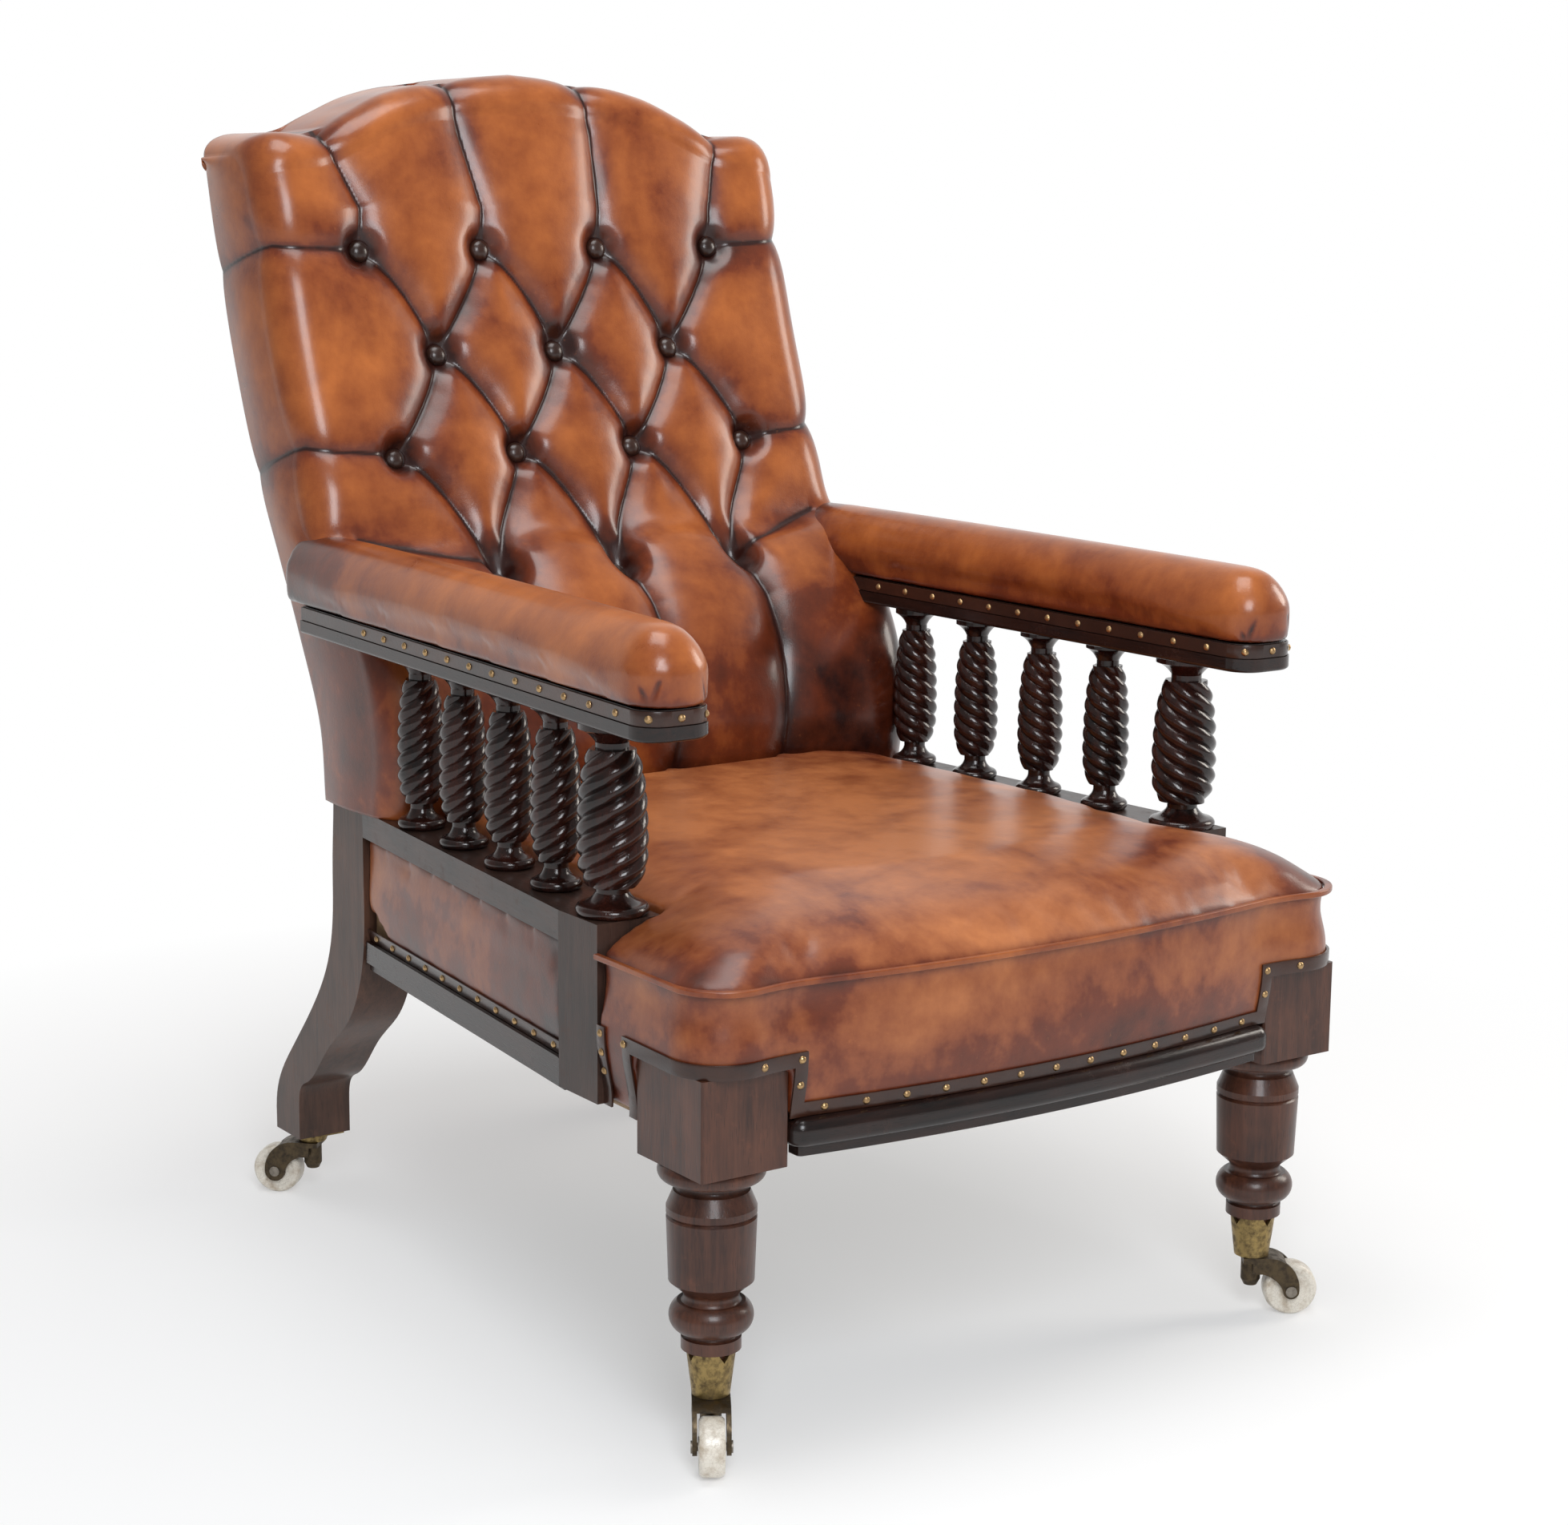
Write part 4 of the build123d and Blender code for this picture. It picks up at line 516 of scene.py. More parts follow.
def arch_height(x):
    """Height of the crest at a place across the back."""
    rise = np.interp(np.abs(x) / back_half, arch_line[:, 0], arch_line[:, 1])
    return crest_top + (rise - 1) * arch_rise


print("height of the shoulders", round(float(arch_height(back_half)), 3))

# %% The plain sheet: side, rounded corner, front, rounded corner, side
corner_round = 36 * mm
corner_drop = 22 * mm
side_depth = 108 * mm
side_bulge = 3 * mm
hem_drop = 2 * mm
hem_length = 12 * mm
hem_stand = 1.5 * mm
front_columns = 280
corner_columns = 14
side_columns = 34
face_rows = 250
slope_rows = 28
turn_rows = 14
top_rows = 22
hem_rows = 5
face_share = 0.93
quarter_turn = math.pi / 2
face_line = smooth_line(front_line, face_rows)
flat_half = back_half - corner_round


def columns():
    """Across the sheet: place, setback, share of the drop, share round the side, unrolled place."""
    across = []
    for share in np.linspace(0, 1, side_columns, endpoint=False):
        unrolled = flat_half + corner_round * quarter_turn + (1 - share) * side_depth
        across.append((back_half, corner_round, 1.0, share, unrolled))
    for angle in np.linspace(quarter_turn, 0, corner_columns, endpoint=False):
        place = flat_half + corner_round * math.sin(angle)
        setback = corner_round * (1 - math.cos(angle))
        across.append((place, setback, 1 - math.cos(angle), 1.0, flat_half + corner_round * angle))
    right = [(-place, setback, drop, share, -unrolled) for place, setback, drop, share, unrolled in across]
    front = [(place, 0.0, 0.0, 1.0, place) for place in np.linspace(-flat_half, flat_half, front_columns)]
    return right + front + list(reversed(across))


def hem_place(height):
    """Point of the hem at a height, just proud of the outside of the back."""
    return np.array((np.interp(height, rear_line[:, 1], rear_line[:, 0]) + hem_stand, height))


def profile(x, setback, drop):
    """Rows of the sheet at one place across, and their unrolled heights."""
    top = arch_height(x) - drop * corner_drop
    face = face_line + (setback, 0)
    turn_low = np.array((face[-1][0] + (top - top_round - face[-1][1]) * face_slope, top - top_round))
    slope = np.linspace(face[-1], turn_low, slope_rows + 1)[1:]
    turn = []
    for angle in np.linspace(0, quarter_turn, turn_rows + 1)[1:]:
        turn.append(turn_low + top_round * np.array((1 - math.cos(angle), math.sin(angle))))
    hem_top = hem_place(top - hem_drop)
    over = np.linspace(turn[-1], hem_top, top_rows + 1)[1:]
    hem = [hem_place(hem_top[1] - hem_length * share) for share in np.linspace(0, 1, hem_rows + 1)[1:]]
    rows = np.vstack((face, slope, turn, over, hem))
    steps = np.linalg.norm(np.diff(rows, axis=0), axis=1)
    unrolled = rows[:, 1].copy()
    start = face_rows + slope_rows
    unrolled[start:] = unrolled[start - 1] + np.cumsum(steps[start - 1:])
    return rows, unrolled


back_columns = columns()
row_count = face_rows + slope_rows + turn_rows + top_rows + hem_rows
plain = np.zeros((row_count, len(back_columns), 3))
flat = np.zeros((row_count, len(back_columns), 2))
rear_places = np.concatenate((
    np.linspace(0, face_share, face_rows), np.linspace(face_share, 1, row_count - face_rows)
))
for column, (x, setback, drop, share, unrolled) in enumerate(back_columns):
    rows, heights = profile(x, setback, drop)
    rear_top = np.interp(rows[-hem_rows - 1][1], rear_line[:, 1], range(rear_points))
    rear = np.column_stack([
        np.interp(rear_places * rear_top, range(rear_points), rear_line[:, axis]) for axis in range(2)
    ])
    bulge = side_bulge * math.sin(math.pi * share) if share < 1 else 0
    plain[:, column, 0] = x + math.copysign(bulge, x)
    plain[:, column, 1:] = rear * (1 - share) + rows * share
    flat[:, column, 0] = unrolled
    flat[:, column, 1] = heights * share + rear[:, 1] * (1 - share)
print("points in the back", row_count * len(back_columns))

# %% [markdown]
# ### Buttons and pleats
# Buttons stand in a diamond grid, four and three by turns. A pleat joins each button to its neighbours in
# the next row. From the top row a pleat runs up and over the crest, from the outer buttons one runs round
# the side, and from the bottom row three run down over the roll at the small of the back. Pleats are drawn
# as lines on the sheet laid flat, so that they pass round the corners and over the crest without a break.

# %% Where the buttons and pleats are
pitch = 121 * mm
neighbour_reach = pitch * 0.9
row_heights = (850 * mm, 763 * mm, 678 * mm, 591 * mm)
row_counts = (4, 3, 4, 3)
row_drifts = (1 * mm, 3 * mm, 5 * mm, 12 * mm)
row_depths = (21 * mm, 23 * mm, 27 * mm, 40 * mm)
button_rows = []
for height, count, drift, depth in zip(row_heights, row_counts, row_drifts, row_depths):
    row = [((index - (count - 1) / 2) * pitch + drift, height, depth) for index in range(count)]
    button_rows.append(row)
side_end = flat_half + corner_round * quarter_turn + side_depth
bow_points = 7
bow_lean = 0.8
right_bow = 8 * mm
left_bow = 5 * mm
# Of each fold: its depth at the start, its depth at the end, and how far it spreads
grid_fold = (16 * mm, 16 * mm, 16 * mm)
crest_fold = (15 * mm, 4 * mm, 19 * mm)
side_fold = (11 * mm, 3 * mm, 16 * mm)
low_side_fold = (13 * mm, 9 * mm, 18 * mm)
roll_fold = (17 * mm, 8 * mm, 19 * mm)
# Of each point of a run that leaves a button: share of the button's place across, shift, and rise
crest_run = (
    (1.0, 5 * mm, 35 * mm), (1.13, 0.0, 100 * mm), (1.13, -4 * mm, 150 * mm), (1.1526, -6 * mm, 270 * mm),
)
roll_run = ((1.0, 6 * mm, -40 * mm), (0.97, 4 * mm, -111 * mm), (0.95, 0.0, -211 * mm))
# Of each run round the side: the row of its button, its height at the corner and at the rear edge
side_runs = ((0, 852 * mm, 826 * mm), (2, 684 * mm, 655 * mm))
low_side_height = 612 * mm
pleats = []


def add_pleat(points, fold, bow=0.0):
    """Add a pleat through some places; a bow bends a straight run to its right-hand side."""
    if bow:
        start, stop = np.array(points[0]), np.array(points[1])
        run = stop - start
        square = np.array((-run[1], run[0])) / np.linalg.norm(run)
        points = [
            start + run * share + square * bow * math.sin(math.pi * share ** bow_lean)
            for share in np.linspace(0, 1, bow_points)
        ]
    pleats.append((np.array(points), *fold))


def run_from(button, run):
    """Places of a run that leaves a button."""
    x, z = button[:2]
    return [(x, z)] + [(x * share + shift, z + rise) for share, shift, rise in run]


for upper, lower in zip(button_rows, button_rows[1:]):
    for above in upper:
        for below in lower:
            if abs(above[0] - below[0]) < neighbour_reach:
                add_pleat((above[:2], below[:2]), grid_fold, right_bow if above[0] < below[0] else left_bow)
for button in button_rows[0]:
    add_pleat(run_from(button, crest_run), crest_fold)
for row, corner_height, rear_height in side_runs:
    for side, button in ((-1, button_rows[row][0]), (1, button_rows[row][-1])):
        bend = (side * back_half, corner_height)
        add_pleat((button[:2], bend, (side * side_end, rear_height)), side_fold)
for side, button in ((-1, button_rows[-1][0]), (1, button_rows[-1][-1])):
    add_pleat((button[:2], (side * flat_half, low_side_height)), low_side_fold)
for button in button_rows[-1]:
    add_pleat(run_from(button, roll_run), roll_fold)
print("buttons", sum(row_counts), "pleats", len(pleats))


# %% Sinking the sheet into its pleats and buttons
def path_distance(path):
    """Distance of each point of the unrolled sheet from a path, and the share along it."""
    lengths = np.linalg.norm(np.diff(path, axis=0), axis=1)
    nearest = np.full(flat.shape[:2], np.inf)
    along = np.zeros(flat.shape[:2])
    passed = 0.0
    for start, stop, length in zip(path, path[1:], lengths):
        run = stop - start
        offset = flat - start
        share = np.clip((offset @ run) / (run @ run), 0, 1)
        distance = np.linalg.norm(offset - share[..., None] * run, axis=-1)
        nearer = distance < nearest
        nearest = np.where(nearer, distance, nearest)
        along = np.where(nearer, (passed + share * length) / lengths.sum(), along)
        passed += length
    return nearest, along


blend_power = 4
dimple_radius = 14 * mm
dimple_power = 2.6
crest_sink = 5 * mm
sink = np.zeros(flat.shape[:2])
nearest_pleat = np.full(flat.shape[:2], np.inf)
nearest_button = np.full(flat.shape[:2], np.inf)
for path, start_depth, stop_depth, width in pleats:
    distance, share = path_distance(path)
    depth = start_depth + (stop_depth - start_depth) * share
    sink += (depth * near(distance, width)) ** blend_power
    nearest_pleat = np.minimum(nearest_pleat, distance)
sink = sink ** (1 / blend_power)
for row in button_rows:
    for x, z, depth in row:
        distance = np.linalg.norm(flat - (x, z), axis=-1)
        seated = near(distance, dimple_radius, dimple_power)
        sink = sink * (1 - seated) + depth * seated
        nearest_button = np.minimum(nearest_button, distance)
turned_over = face_rows + slope_rows + turn_rows
sink[turned_over:] = np.minimum(sink[turned_over:], crest_sink)
sink[turned_over:, :side_columns] = 0
sink[turned_over:, -side_columns:] = 0
outward = np.cross(np.gradient(plain, axis=1), np.gradient(plain, axis=0))
outward = outward / np.maximum(np.linalg.norm(outward, axis=-1, keepdims=True), tiny)
outward[:, :side_columns] = (-1, 0, 0)
outward[:, -side_columns:] = (1, 0, 0)
shaped = plain - outward * sink[..., None]
print("deepest fold mm", round(float(sink.max()) / mm, 1))


# %% A grid of points as a sheet of leather
def paint_mesh(mesh, tones):
    """Store the painted shade of each point of a mesh."""
    layer = mesh.attributes.new("shade", "FLOAT", "POINT")
    layer.data.foreach_set("value", tones.astype(np.float32))


def grid_piece(name, grid, thickness, material, tones):
    """Make a closed sheet of a grid of points: the face, its back at a thickness, and the rim between."""
    rows, count = grid.shape[:2]
    inner = grid - outward * thickness[..., None]
    corner = np.arange(rows * count).reshape(rows, count)
    quads = np.stack((corner[:-1, :-1], corner[:-1, 1:], corner[1:, 1:], corner[1:, :-1]), axis=-1)
    quads = quads.reshape(-1, 4)
    border = np.concatenate((corner[0, :-1], corner[:-1, -1], corner[-1, :0:-1], corner[:0:-1, 0]))
    following = np.roll(border, -1)
    behind = rows * count
    rim = np.stack((following, border, border + behind, following + behind), axis=-1)
    faces = np.vstack((quads, quads[:, ::-1] + behind, rim))
    mesh = bpy.data.meshes.new(name)
    mesh.from_pydata(np.vstack((grid.reshape(-1, 3), inner.reshape(-1, 3))).tolist(), [], faces.tolist())
    mesh.polygons.foreach_set("use_smooth", [True] * len(mesh.polygons))
    paint_mesh(mesh, np.tile(tones.reshape(-1), 2))
    mesh.materials.append(material)
    return add_object(name, mesh)


hide_thickness = 2.4 * mm
side_thickening = 2.8 * mm
across, height = plain[..., 0], plain[..., 2]
roll_zone = ramp(height, 575 * mm, 485 * mm)
# Of each zone of the back: how much it lightens the leather, or darkens it where that is below nought.
# The crowns between the pleats are worn lighter. The thin line and the wider band along each pleat, the
# hollow round each button and the rounded sides are painted shade. The roll at the small of the back is
# darker, and painted shade deepens it on its far side, where the back meets the seat.
back_zones = (
    (0.46, 1 - near(nearest_pleat, 20 * mm)),
    (-0.85, near(nearest_pleat, 1.5 * mm, 2)),
    (-0.34, near(nearest_pleat, 9 * mm)),
    (-1.05, near(nearest_button, 19 * mm, 2)),
    (-0.34, roll_zone),
    (-0.55, roll_zone * ramp(across, -100 * mm, 230 * mm)),
    (-0.20, ramp(np.abs(flat[..., 0]), flat_half, flat_half + 60 * mm)),
)
back_tone = -0.12
back_paint = back_tone + sum(weight * zone for weight, zone in back_zones)
thickness = hide_thickness + side_thickening * ramp(np.abs(across), flat_half, back_half)
back = grid_piece("buttoned_back", shaped, thickness, hide, back_paint)
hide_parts("back_upholstery")
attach(back, "frame")
print("shade of the back from", round(float(back_paint.min()), 2), "to", round(float(back_paint.max()), 2))

# %% Buttons covered in leather
button_radius = 9.5 * mm
button_swell = 6.5 * mm
button_lift = 2.5 * mm
button_mesh = bmesh.new()
for row in button_rows:
    for x, z, _ in row:
        row_index = int(np.argmin(np.abs(face_line[:, 1] - z)))
        column_index = int(np.argmin(np.abs(flat[0, :, 0] - x)))
        base = Vector(shaped[row_index, column_index])
        turned = Vector(outward[row_index, column_index]).to_track_quat("Z", "Y")
        made = bmesh.ops.create_uvsphere(button_mesh, u_segments=24, v_segments=12, radius=1)
        for vertex in made["verts"]:
            x_part, y_part, z_part = vertex.co
            squashed = (x_part * button_radius, y_part * button_radius, z_part * button_swell + button_lift)
            vertex.co = base + turned @ Vector(squashed)
mesh = bpy.data.meshes.new("back_button_tops")
button_mesh.to_mesh(mesh)
button_mesh.free()
mesh.polygons.foreach_set("use_smooth", [True] * len(mesh.polygons))
mesh.materials.append(button_hide)
buttons = add_object("leather_buttons", mesh)
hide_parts("back_buttons")
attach(buttons, "frame")
print("faces of the buttons", len(mesh.polygons))

# %% [markdown]
# ## Stuffed pieces from their solids
# The seat and the arm pads start as a copy of their solids. A voxel remesh gives the copy an even net of
# small faces, and a short cloth simulation with air pressure inside swells it as stuffing would. Where a
# seam, a nail or a rail holds the leather down, the swelling is held back by a share worked out from the
# place of each point.

# %% Swelling a copy of a solid
swell_pressure = 4
swell_frames = 20


def apply_modifiers(piece):
    """Replace a piece's mesh by what its modifiers make of it."""
    graph = bpy.context.evaluated_depsgraph_get()
    made = bpy.data.meshes.new_from_object(piece.evaluated_get(graph))
    piece.modifiers.clear()
    piece.data = made


def mesh_points(mesh, kind="co"):
    """Places of a mesh's points, or their normals, one a row."""
    values = np.zeros(len(mesh.vertices) * 3)
    mesh.vertices.foreach_get(kind, values)
    return values.reshape(-1, 3)


def swell(piece, most, freedom):
    """Let air pressure swell a piece: most is the furthest a point may go, freedom its share of that."""
    start = mesh_points(piece.data)
    cloth = piece.modifiers.new("swelling", "CLOTH")
    cloth.settings.use_pressure = True
    cloth.settings.uniform_pressure_force = swell_pressure
    cloth.settings.effector_weights.gravity = 0
    for number in range(1, swell_frames + 1):
        bpy.context.scene.frame_set(number)
    apply_modifiers(piece)
    bpy.context.scene.frame_set(1)
    move = mesh_points(piece.data) - start
    length = np.linalg.norm(move, axis=1, keepdims=True)
    capped = move * np.minimum(1, most / np.maximum(length, tiny)) * freedom(start)[:, None]
    piece.data.vertices.foreach_set("co", (start + capped).reshape(-1))


def stuffed(name, node, voxel, most, freedom, material, paint, shape=None, crease=None):
    """Swell a copy of a node, then shape, crease and paint it by functions of its points."""
    piece = add_object(name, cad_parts[node].data.copy())
    remesh = piece.modifiers.new("net", "REMESH")
    remesh.mode = "VOXEL"
    remesh.voxel_size = voxel
    smooth = piece.modifiers.new("even", "SMOOTH")
    smooth.factor = 0.5
    smooth.iterations = 2
    apply_modifiers(piece)
    swell(piece, most, freedom)
    subdivide = piece.modifiers.new("finer", "SUBSURF")
    subdivide.levels = 1
    apply_modifiers(piece)
    mesh = piece.data
    mesh.materials.clear()
    mesh.materials.append(material)
    mesh.polygons.foreach_set("use_smooth", [True] * len(mesh.polygons))
    points = mesh_points(mesh)
    if shape is not None:
        points = shape(points)
        mesh.vertices.foreach_set("co", points.reshape(-1))
        mesh.update()
    if crease is not None:
        points = points - mesh_points(mesh, "normal") * crease(points)[:, None]
        mesh.vertices.foreach_set("co", points.reshape(-1))
    paint_mesh(mesh, paint(points))
    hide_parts(node)
    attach(piece, "frame")
    print(name, "points", len(mesh.vertices))
    return piece


print("frames of swelling", swell_frames)

# %% The seat cushion
piping_z = 363 * mm
piping_hold = 12 * mm
border_freedom = 0.35
crown_half_width = 210 * mm
crown_half_depth = 260 * mm
crown_y = -130 * mm
seat_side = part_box("seat_upholstery")[1][0]


def seat_freedom(points):
    """Free on the crown, a little free on the border, held at the piping and low down."""
    y, z = points[:, 1], points[:, 2]
    held = ramp(np.abs(z - piping_z), 0, piping_hold)
    border = np.where(z < piping_z, border_freedom, 1.0)
    low = ramp(z, 325 * mm, 340 * mm)
    rear = ramp(y, stile_front - 20 * mm, stile_front - 60 * mm)
    return held * border * low * rear


def seat_paint(points):
    """Worn gold on the crown; darker towards the rear, at the front corners by the posts and on the border,
    most towards its foot; painted shade along the piping seam and on the side panels under the rails.
    """
    x, y, z = points.T
    top = ramp(z, piping_z, piping_z + 6 * mm)
    border = 1 - top
    from_crown = np.hypot(x / crown_half_width, (y - crown_y) / crown_half_depth)
    corner = ramp(np.abs(x), 200 * mm, 290 * mm) * ramp(y, -330 * mm, -390 * mm)
    panel = ramp(np.abs(x), seat_side - 20 * mm, seat_side - 10 * mm) * ramp(y, -300 * mm, -260 * mm)
    # Painted shade lies along the piping seam and on the side panels under the spindle rails; the crown is
    # worn lighter
    zones = (
        (0.50, top * near(from_crown, 1, 3)),
        (-0.42, top * ramp(y, 20 * mm, 180 * mm)),
        (-0.45, top * corner),
        (-0.40, near(np.abs(z - piping_z), 5 * mm)),
        (-0.12, border),
        (-0.30, border * ramp(z, 312 * mm, 262 * mm)),
        (-0.50, border * panel),
    )
    return sum(weight * zone for weight, zone in zones)


seat = stuffed(
    "seat_cushion", "seat_upholstery", 5 * mm, 5 * mm, seat_freedom, seat_hide, seat_paint
)

# %% The arm pads
pad_low, pad_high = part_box("arm_pad_left")
pad_front_x = 281 * mm
pad_rear_x = 258 * mm
pad_half = 33 * mm
pad_dome = 46 * mm
side_fall = 0.20
front_fall = 0.20
fall_power = 2.4
most_across = 1.1
most_fall = 0.34
foot_tuck = 0.09
foot_height = 7 * mm
dart_apex = (25 * mm, 8 * mm, 1 * mm)
dart_leans = ((-8 * mm, -2 * mm), (1 * mm, 11 * mm))
dart_height = 19 * mm
dart_depth = 1.3 * mm
pad_tone = 0.02


def pad_freedom(points):
    """Held where the leather is nailed under the pad and where the pad meets the back."""
    rise = ramp(points[:, 2], pad_low[2] + 4 * mm, pad_low[2] + 18 * mm)
    rear = ramp(points[:, 1], pad_high[1] - 20 * mm, pad_high[1] - 70 * mm)
    return rise * rear


def dart_distance(points):
    """Distance of each point from the two V-shaped darts at the front corners of a pad."""
    nearest = np.full(len(points), np.inf)
    middle = math.copysign(pad_front_x, points[0, 0])
    for way in (-1, 1):
        apex = np.array((middle + way * dart_apex[0], pad_low[1] + dart_apex[1], pad_low[2] + dart_apex[2]))
        for lean_x, lean_y in dart_leans:
            run = np.array((way * lean_x, lean_y, dart_height))
            offset = points - apex
            share = np.clip((offset @ run) / (run @ run), 0, 1)
            distance = np.linalg.norm((offset - share[:, None] * run)[:, :2], axis=1)
            above = np.clip(offset[:, 2] - dart_height, 0, None)
            nearest = np.minimum(nearest, np.hypot(distance, above))
    return nearest


def pad_shape(points):
    """Round the section to a D lying on its back, and let the front end fall in a dome."""
    shaped = points.copy()
    x, y, z = points.T
    side = math.copysign(1, x[0])
    centre = side * np.interp(y, (pad_low[1], stile_front), (pad_front_x, pad_rear_x))
    across = np.clip(np.abs(x - centre) / pad_half, 0, most_across)
    front = ramp(y, pad_low[1] + pad_dome, pad_low[1])
    fall = side_fall * across ** fall_power + front_fall * front ** fall_power
    rise = z - pad_low[2]
    shaped[:, 2] = pad_low[2] + rise * (1 - np.clip(fall, 0, most_fall))
    shaped[:, 0] = centre + (x - centre) * (1 - foot_tuck * near(rise, foot_height))
    return shaped


def pad_crease(points):
    """How far the darts sink."""
    return dart_depth * near(dart_distance(points), 2 * mm, 2)


def pad_paint(points):
    """Worn gold on top and at the front, darker towards the foot along the nails, and painted shade in the
    darts and towards the back, deepest where the pad meets it.
    """
    y, z = points[:, 1], points[:, 2]
    height = (z - pad_low[2]) / (pad_high[2] - pad_low[2])
    top = ramp(height, 0.45, 0.95)
    zones = (
        (0.20, top),
        (0.24, top * near(np.abs(y - pad_low[1] - 30 * mm), 70 * mm, 2)),
        # The last three zones are painted shade: towards and where the pad runs into the back, and in the
        # darts
        (-0.75, near(np.maximum(height, 0), 0.10)),
        (-0.34, ramp(y, 20 * mm, 200 * mm)),
        (-0.60, ramp(y, 170 * mm, 220 * mm)),
        (-0.90, near(dart_distance(points), 1.5 * mm, 2)),
    )
    return pad_tone + sum(weight * zone for weight, zone in zones)


for side_name in side_names:
    pad = stuffed(
        f"armrest_pad_{side_name}", f"arm_pad_{side_name}", 4 * mm, 4 * mm, pad_freedom, arm_hide,
        pad_paint, pad_shape, pad_crease,
    )

# %% [markdown]
# ## Trimmings and the outside of the back
# Gimp, piping and the flat leather behind the back are thin and keep the form of their solids, so nothing
# has to be simulated. Each is copied, its sharp edges are rounded as folded leather is, and it gets the
# leather's own finish. The piping's outer stretches are drawn in a little, because the swelled seat is
# slightly rounder at its corners than its solid.

# %% Thin leather from the solids
def trimmed(name, node, material, roundness, tone=0.0):
    """Copy a node's mesh, round its edges and paint it one shade."""
    piece = add_object(name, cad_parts[node].data.copy())
    weld = piece.modifiers.new("joined", "WELD")
    weld.merge_threshold = 0.01 * mm
    bevel = piece.modifiers.new("rounded", "BEVEL")
    bevel.width = roundness
    bevel.segments = 2
    bevel.limit_method = "ANGLE"
    bevel.angle_limit = math.radians(50)
    apply_modifiers(piece)
    mesh = piece.data
    mesh.materials.clear()
    mesh.materials.append(material)
    paint_mesh(mesh, np.full(len(mesh.vertices), tone))
    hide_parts(node)
    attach(piece, "frame")
    print(name, "points", len(mesh.vertices))
    return piece


trimmed("outside_back_leather", "outside_back", hide, 1.0 * mm, -0.05)
cord = trimmed("seat_piping_cord", "seat_piping", piping_hide, 0.6 * mm)
cord_tuck = 2.5 * mm
cord_points = mesh_points(cord.data)
outer = ramp(np.abs(cord_points[:, 0]), 240 * mm, 290 * mm)
cord_points[:, 0] -= np.sign(cord_points[:, 0]) * cord_tuck * outer
cord.data.vertices.foreach_set("co", cord_points.reshape(-1))
cord.data.update()
trimmed("seat_gimp_band", "seat_gimp", gimp_hide, 0.4 * mm)
for side_name in side_names:
    trimmed(f"arm_gimp_band_{side_name}", f"arm_gimp_{side_name}", gimp_hide, 0.4 * mm)

# %% [markdown]
# ## Floor and lamps
# A pale floor keeps the chair's soft shadow, lightened by a glow that the camera sees on the floor near the
# chair, and turns to plain white a little way off, so that no horizon shows. The world is white to the
# camera. By mirror it is white only towards the backdrop and dimmer elsewhere, as a studio is, so that the
# polish stays deep. A cool lamp in front gives the long highlight down the corner of the back and one on the
# left shoulder of each puff. A warmer one at the right lights the other shoulder, and one above lights the
# seat.

# %% Floor
reach = 14.0
fade_start = 0.55
fade_end = 1.25
shadow_lifting_glow = 0.38
floor_mesh = bpy.data.meshes.new("floor")
floor_mesh.from_pydata(
    [(-reach, -reach, 0), (reach, -reach, 0), (reach, reach, 0), (-reach, reach, 0)], [], [(0, 1, 2, 3)]
)
floor = add_object("floor", floor_mesh)
floor_finish = Finish("pale_floor")
floor_finish.set(Base_Color=(0.93, 0.93, 0.93), Roughness=0.75, Specular_IOR_Level=0.2)
away = floor_finish.node(
    "ShaderNodeVectorMath", {"operation": "LENGTH"}, {0: floor_finish.place}, output="Value"
)
white = floor_finish.node("ShaderNodeEmission", None, {"Color": (1, 1, 1), "Strength": 1.0})
lit = Shade(floor_finish, floor_finish.shader.outputs[0])
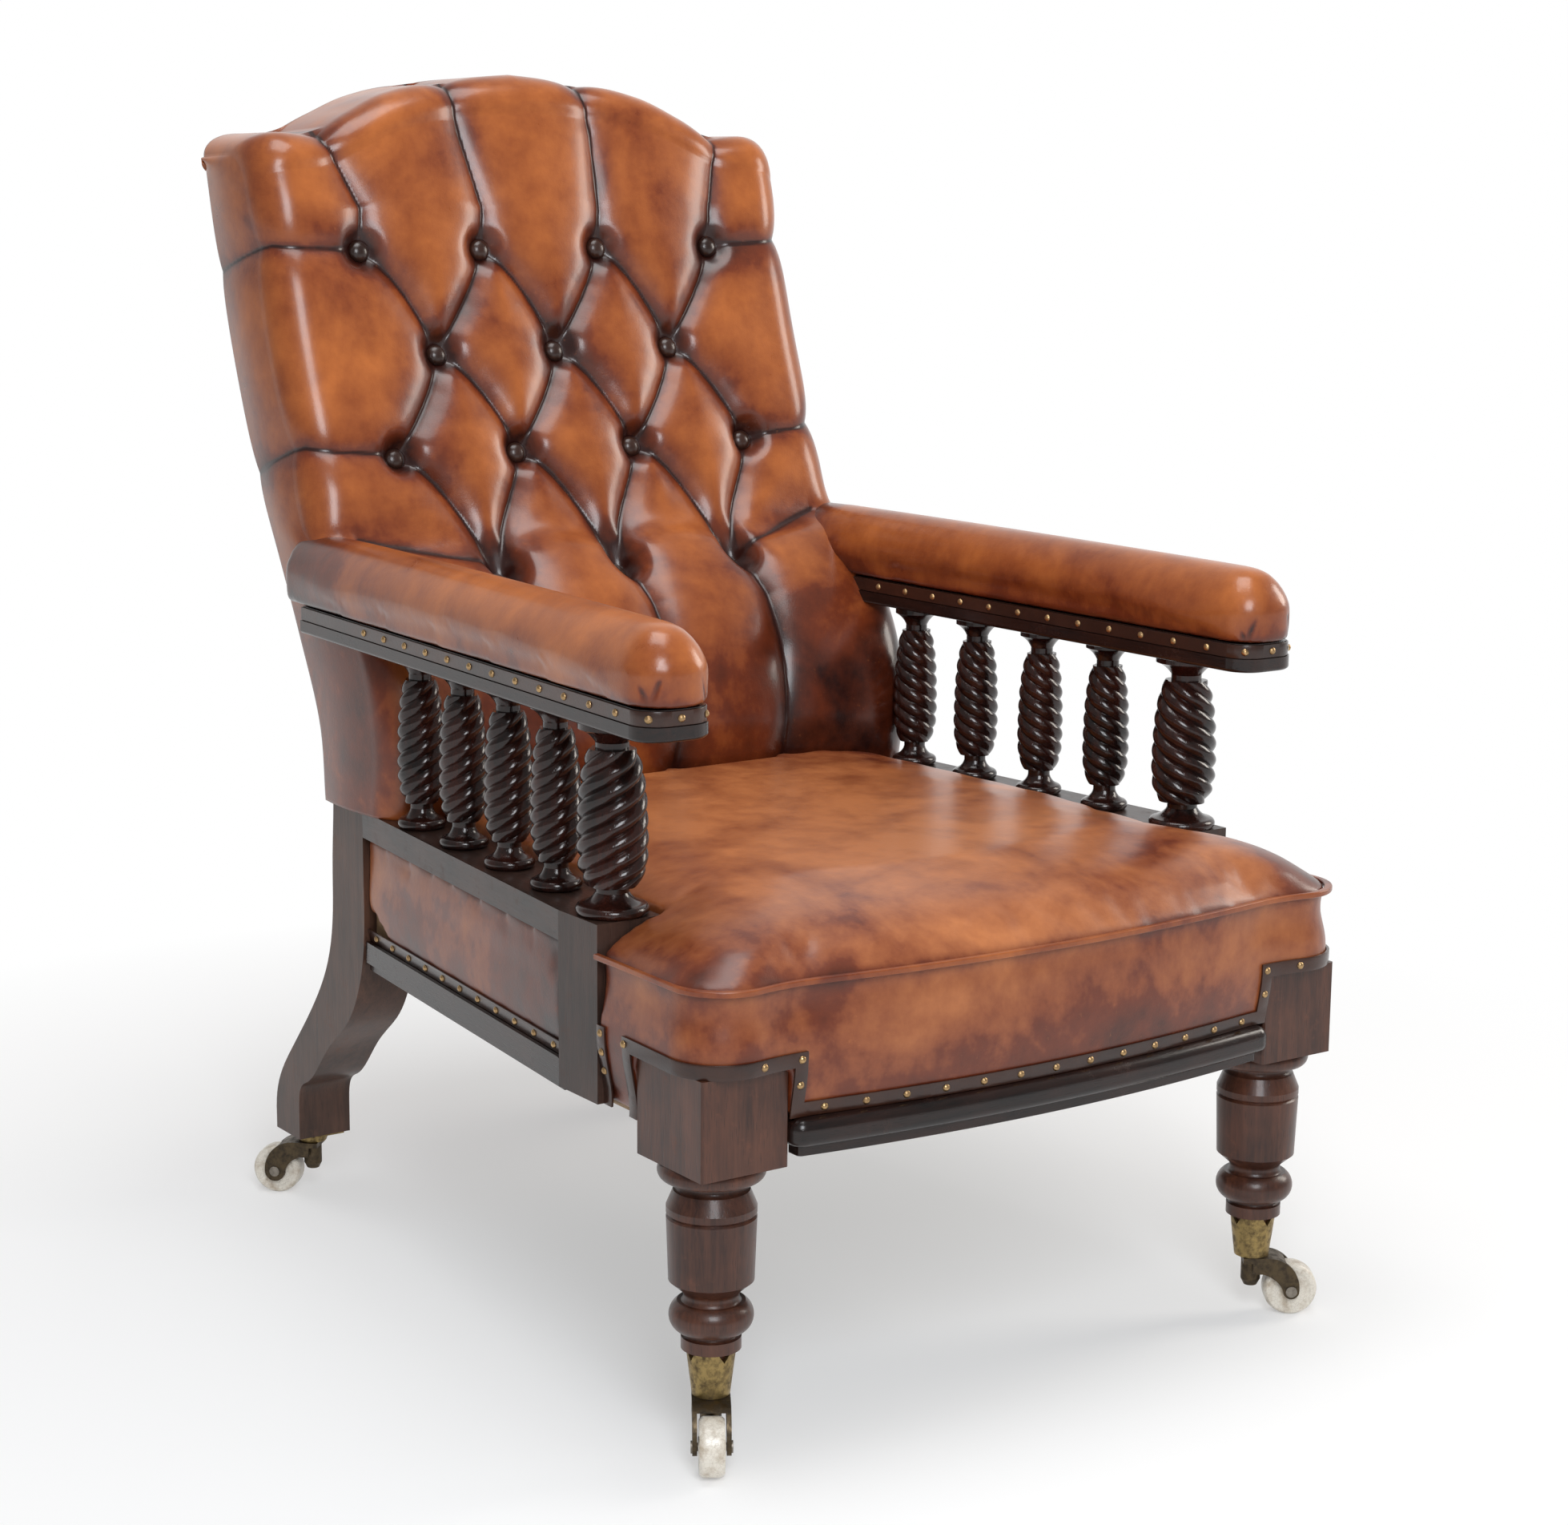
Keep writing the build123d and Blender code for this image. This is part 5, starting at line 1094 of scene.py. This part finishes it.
# Near the chair the floor glows at this least share to the camera and in reflections, a painted light that
# lightens the chair's shadow
whitened = away.between(fade_start, fade_end) * (1 - shadow_lifting_glow) + shadow_lifting_glow
surface = floor_finish.node(
    "ShaderNodeMixShader", None, {0: floor_finish.seen_rays() * whitened, 1: lit, 2: white}
)
floor_finish.feed(floor_finish.tree.nodes["Material Output"].inputs["Surface"], surface)
floor_mesh.materials.append(floor_finish.material)
print("the floor is plain white from", fade_end, "m")

# %% World
fill_strength = 0.32
backdrop_edge = 0.15
backdrop_full = 0.85
world = bpy.data.worlds.new("studio")
bpy.context.scene.world = world
world.use_nodes = True
sky = Graph(world.node_tree)
heading = sky.node("ShaderNodeTexCoord", output="Generated")
view_way = (camera_target - camera_place).normalized()
backdrop = sky.node(
    "ShaderNodeVectorMath", {"operation": "DOT_PRODUCT"}, {0: heading, 1: tuple(view_way)}, output="Value"
)
camera_ray = sky.node("ShaderNodeLightPath", output="Is Camera Ray")
mirrored = sky.seen_rays() * backdrop.between(backdrop_edge, backdrop_full)
whiteness = camera_ray.math("MAXIMUM", mirrored)
background = sky.tree.nodes["Background"]
sky.feed(background.inputs["Color"], (1, 1, 1))
sky.feed(background.inputs["Strength"], whiteness * (1 - fill_strength) + fill_strength)
print("nodes in the world", len(sky.tree.nodes))


# %% Lamps
def soft_lamp(name, place, target, size, power, colour):
    """A soft lamp aimed at a point."""
    data = bpy.data.lights.new(name, "AREA")
    data.color = colour
    data.shape = "RECTANGLE"
    data.size, data.size_y = size
    data.energy = power
    lamp = add_object(name, data)
    lamp.location = place
    lamp.rotation_euler = (Vector(target) - Vector(place)).to_track_quat("-Z", "Y").to_euler()


cool, warm, plain_white = (0.93, 0.96, 1.0), (1.0, 0.94, 0.86), (1.0, 1.0, 1.0)
chair_middle = (0, 0, 0.6)
chair_low = (0, 0, 0.3)
# Of each lamp: name, place, target, width and height, power, colour
lamps = (
    ("front_window", (-1.25, -2.4, 2.0), chair_middle, (1.0, 1.4), 52, cool),
    ("right_window", (2.3, -0.7, 1.4), chair_middle, (0.8, 1.1), 22, warm),
    ("overhead", (-0.2, -0.2, 3.0), chair_low, (1.5, 1.5), 38, plain_white),
)
for lamp in lamps:
    soft_lamp(*lamp)
print("lamps", len(lamps))

# %% [markdown]
# The dressed chair has to stay inside the box of its solids, give or take what leather may stand proud.
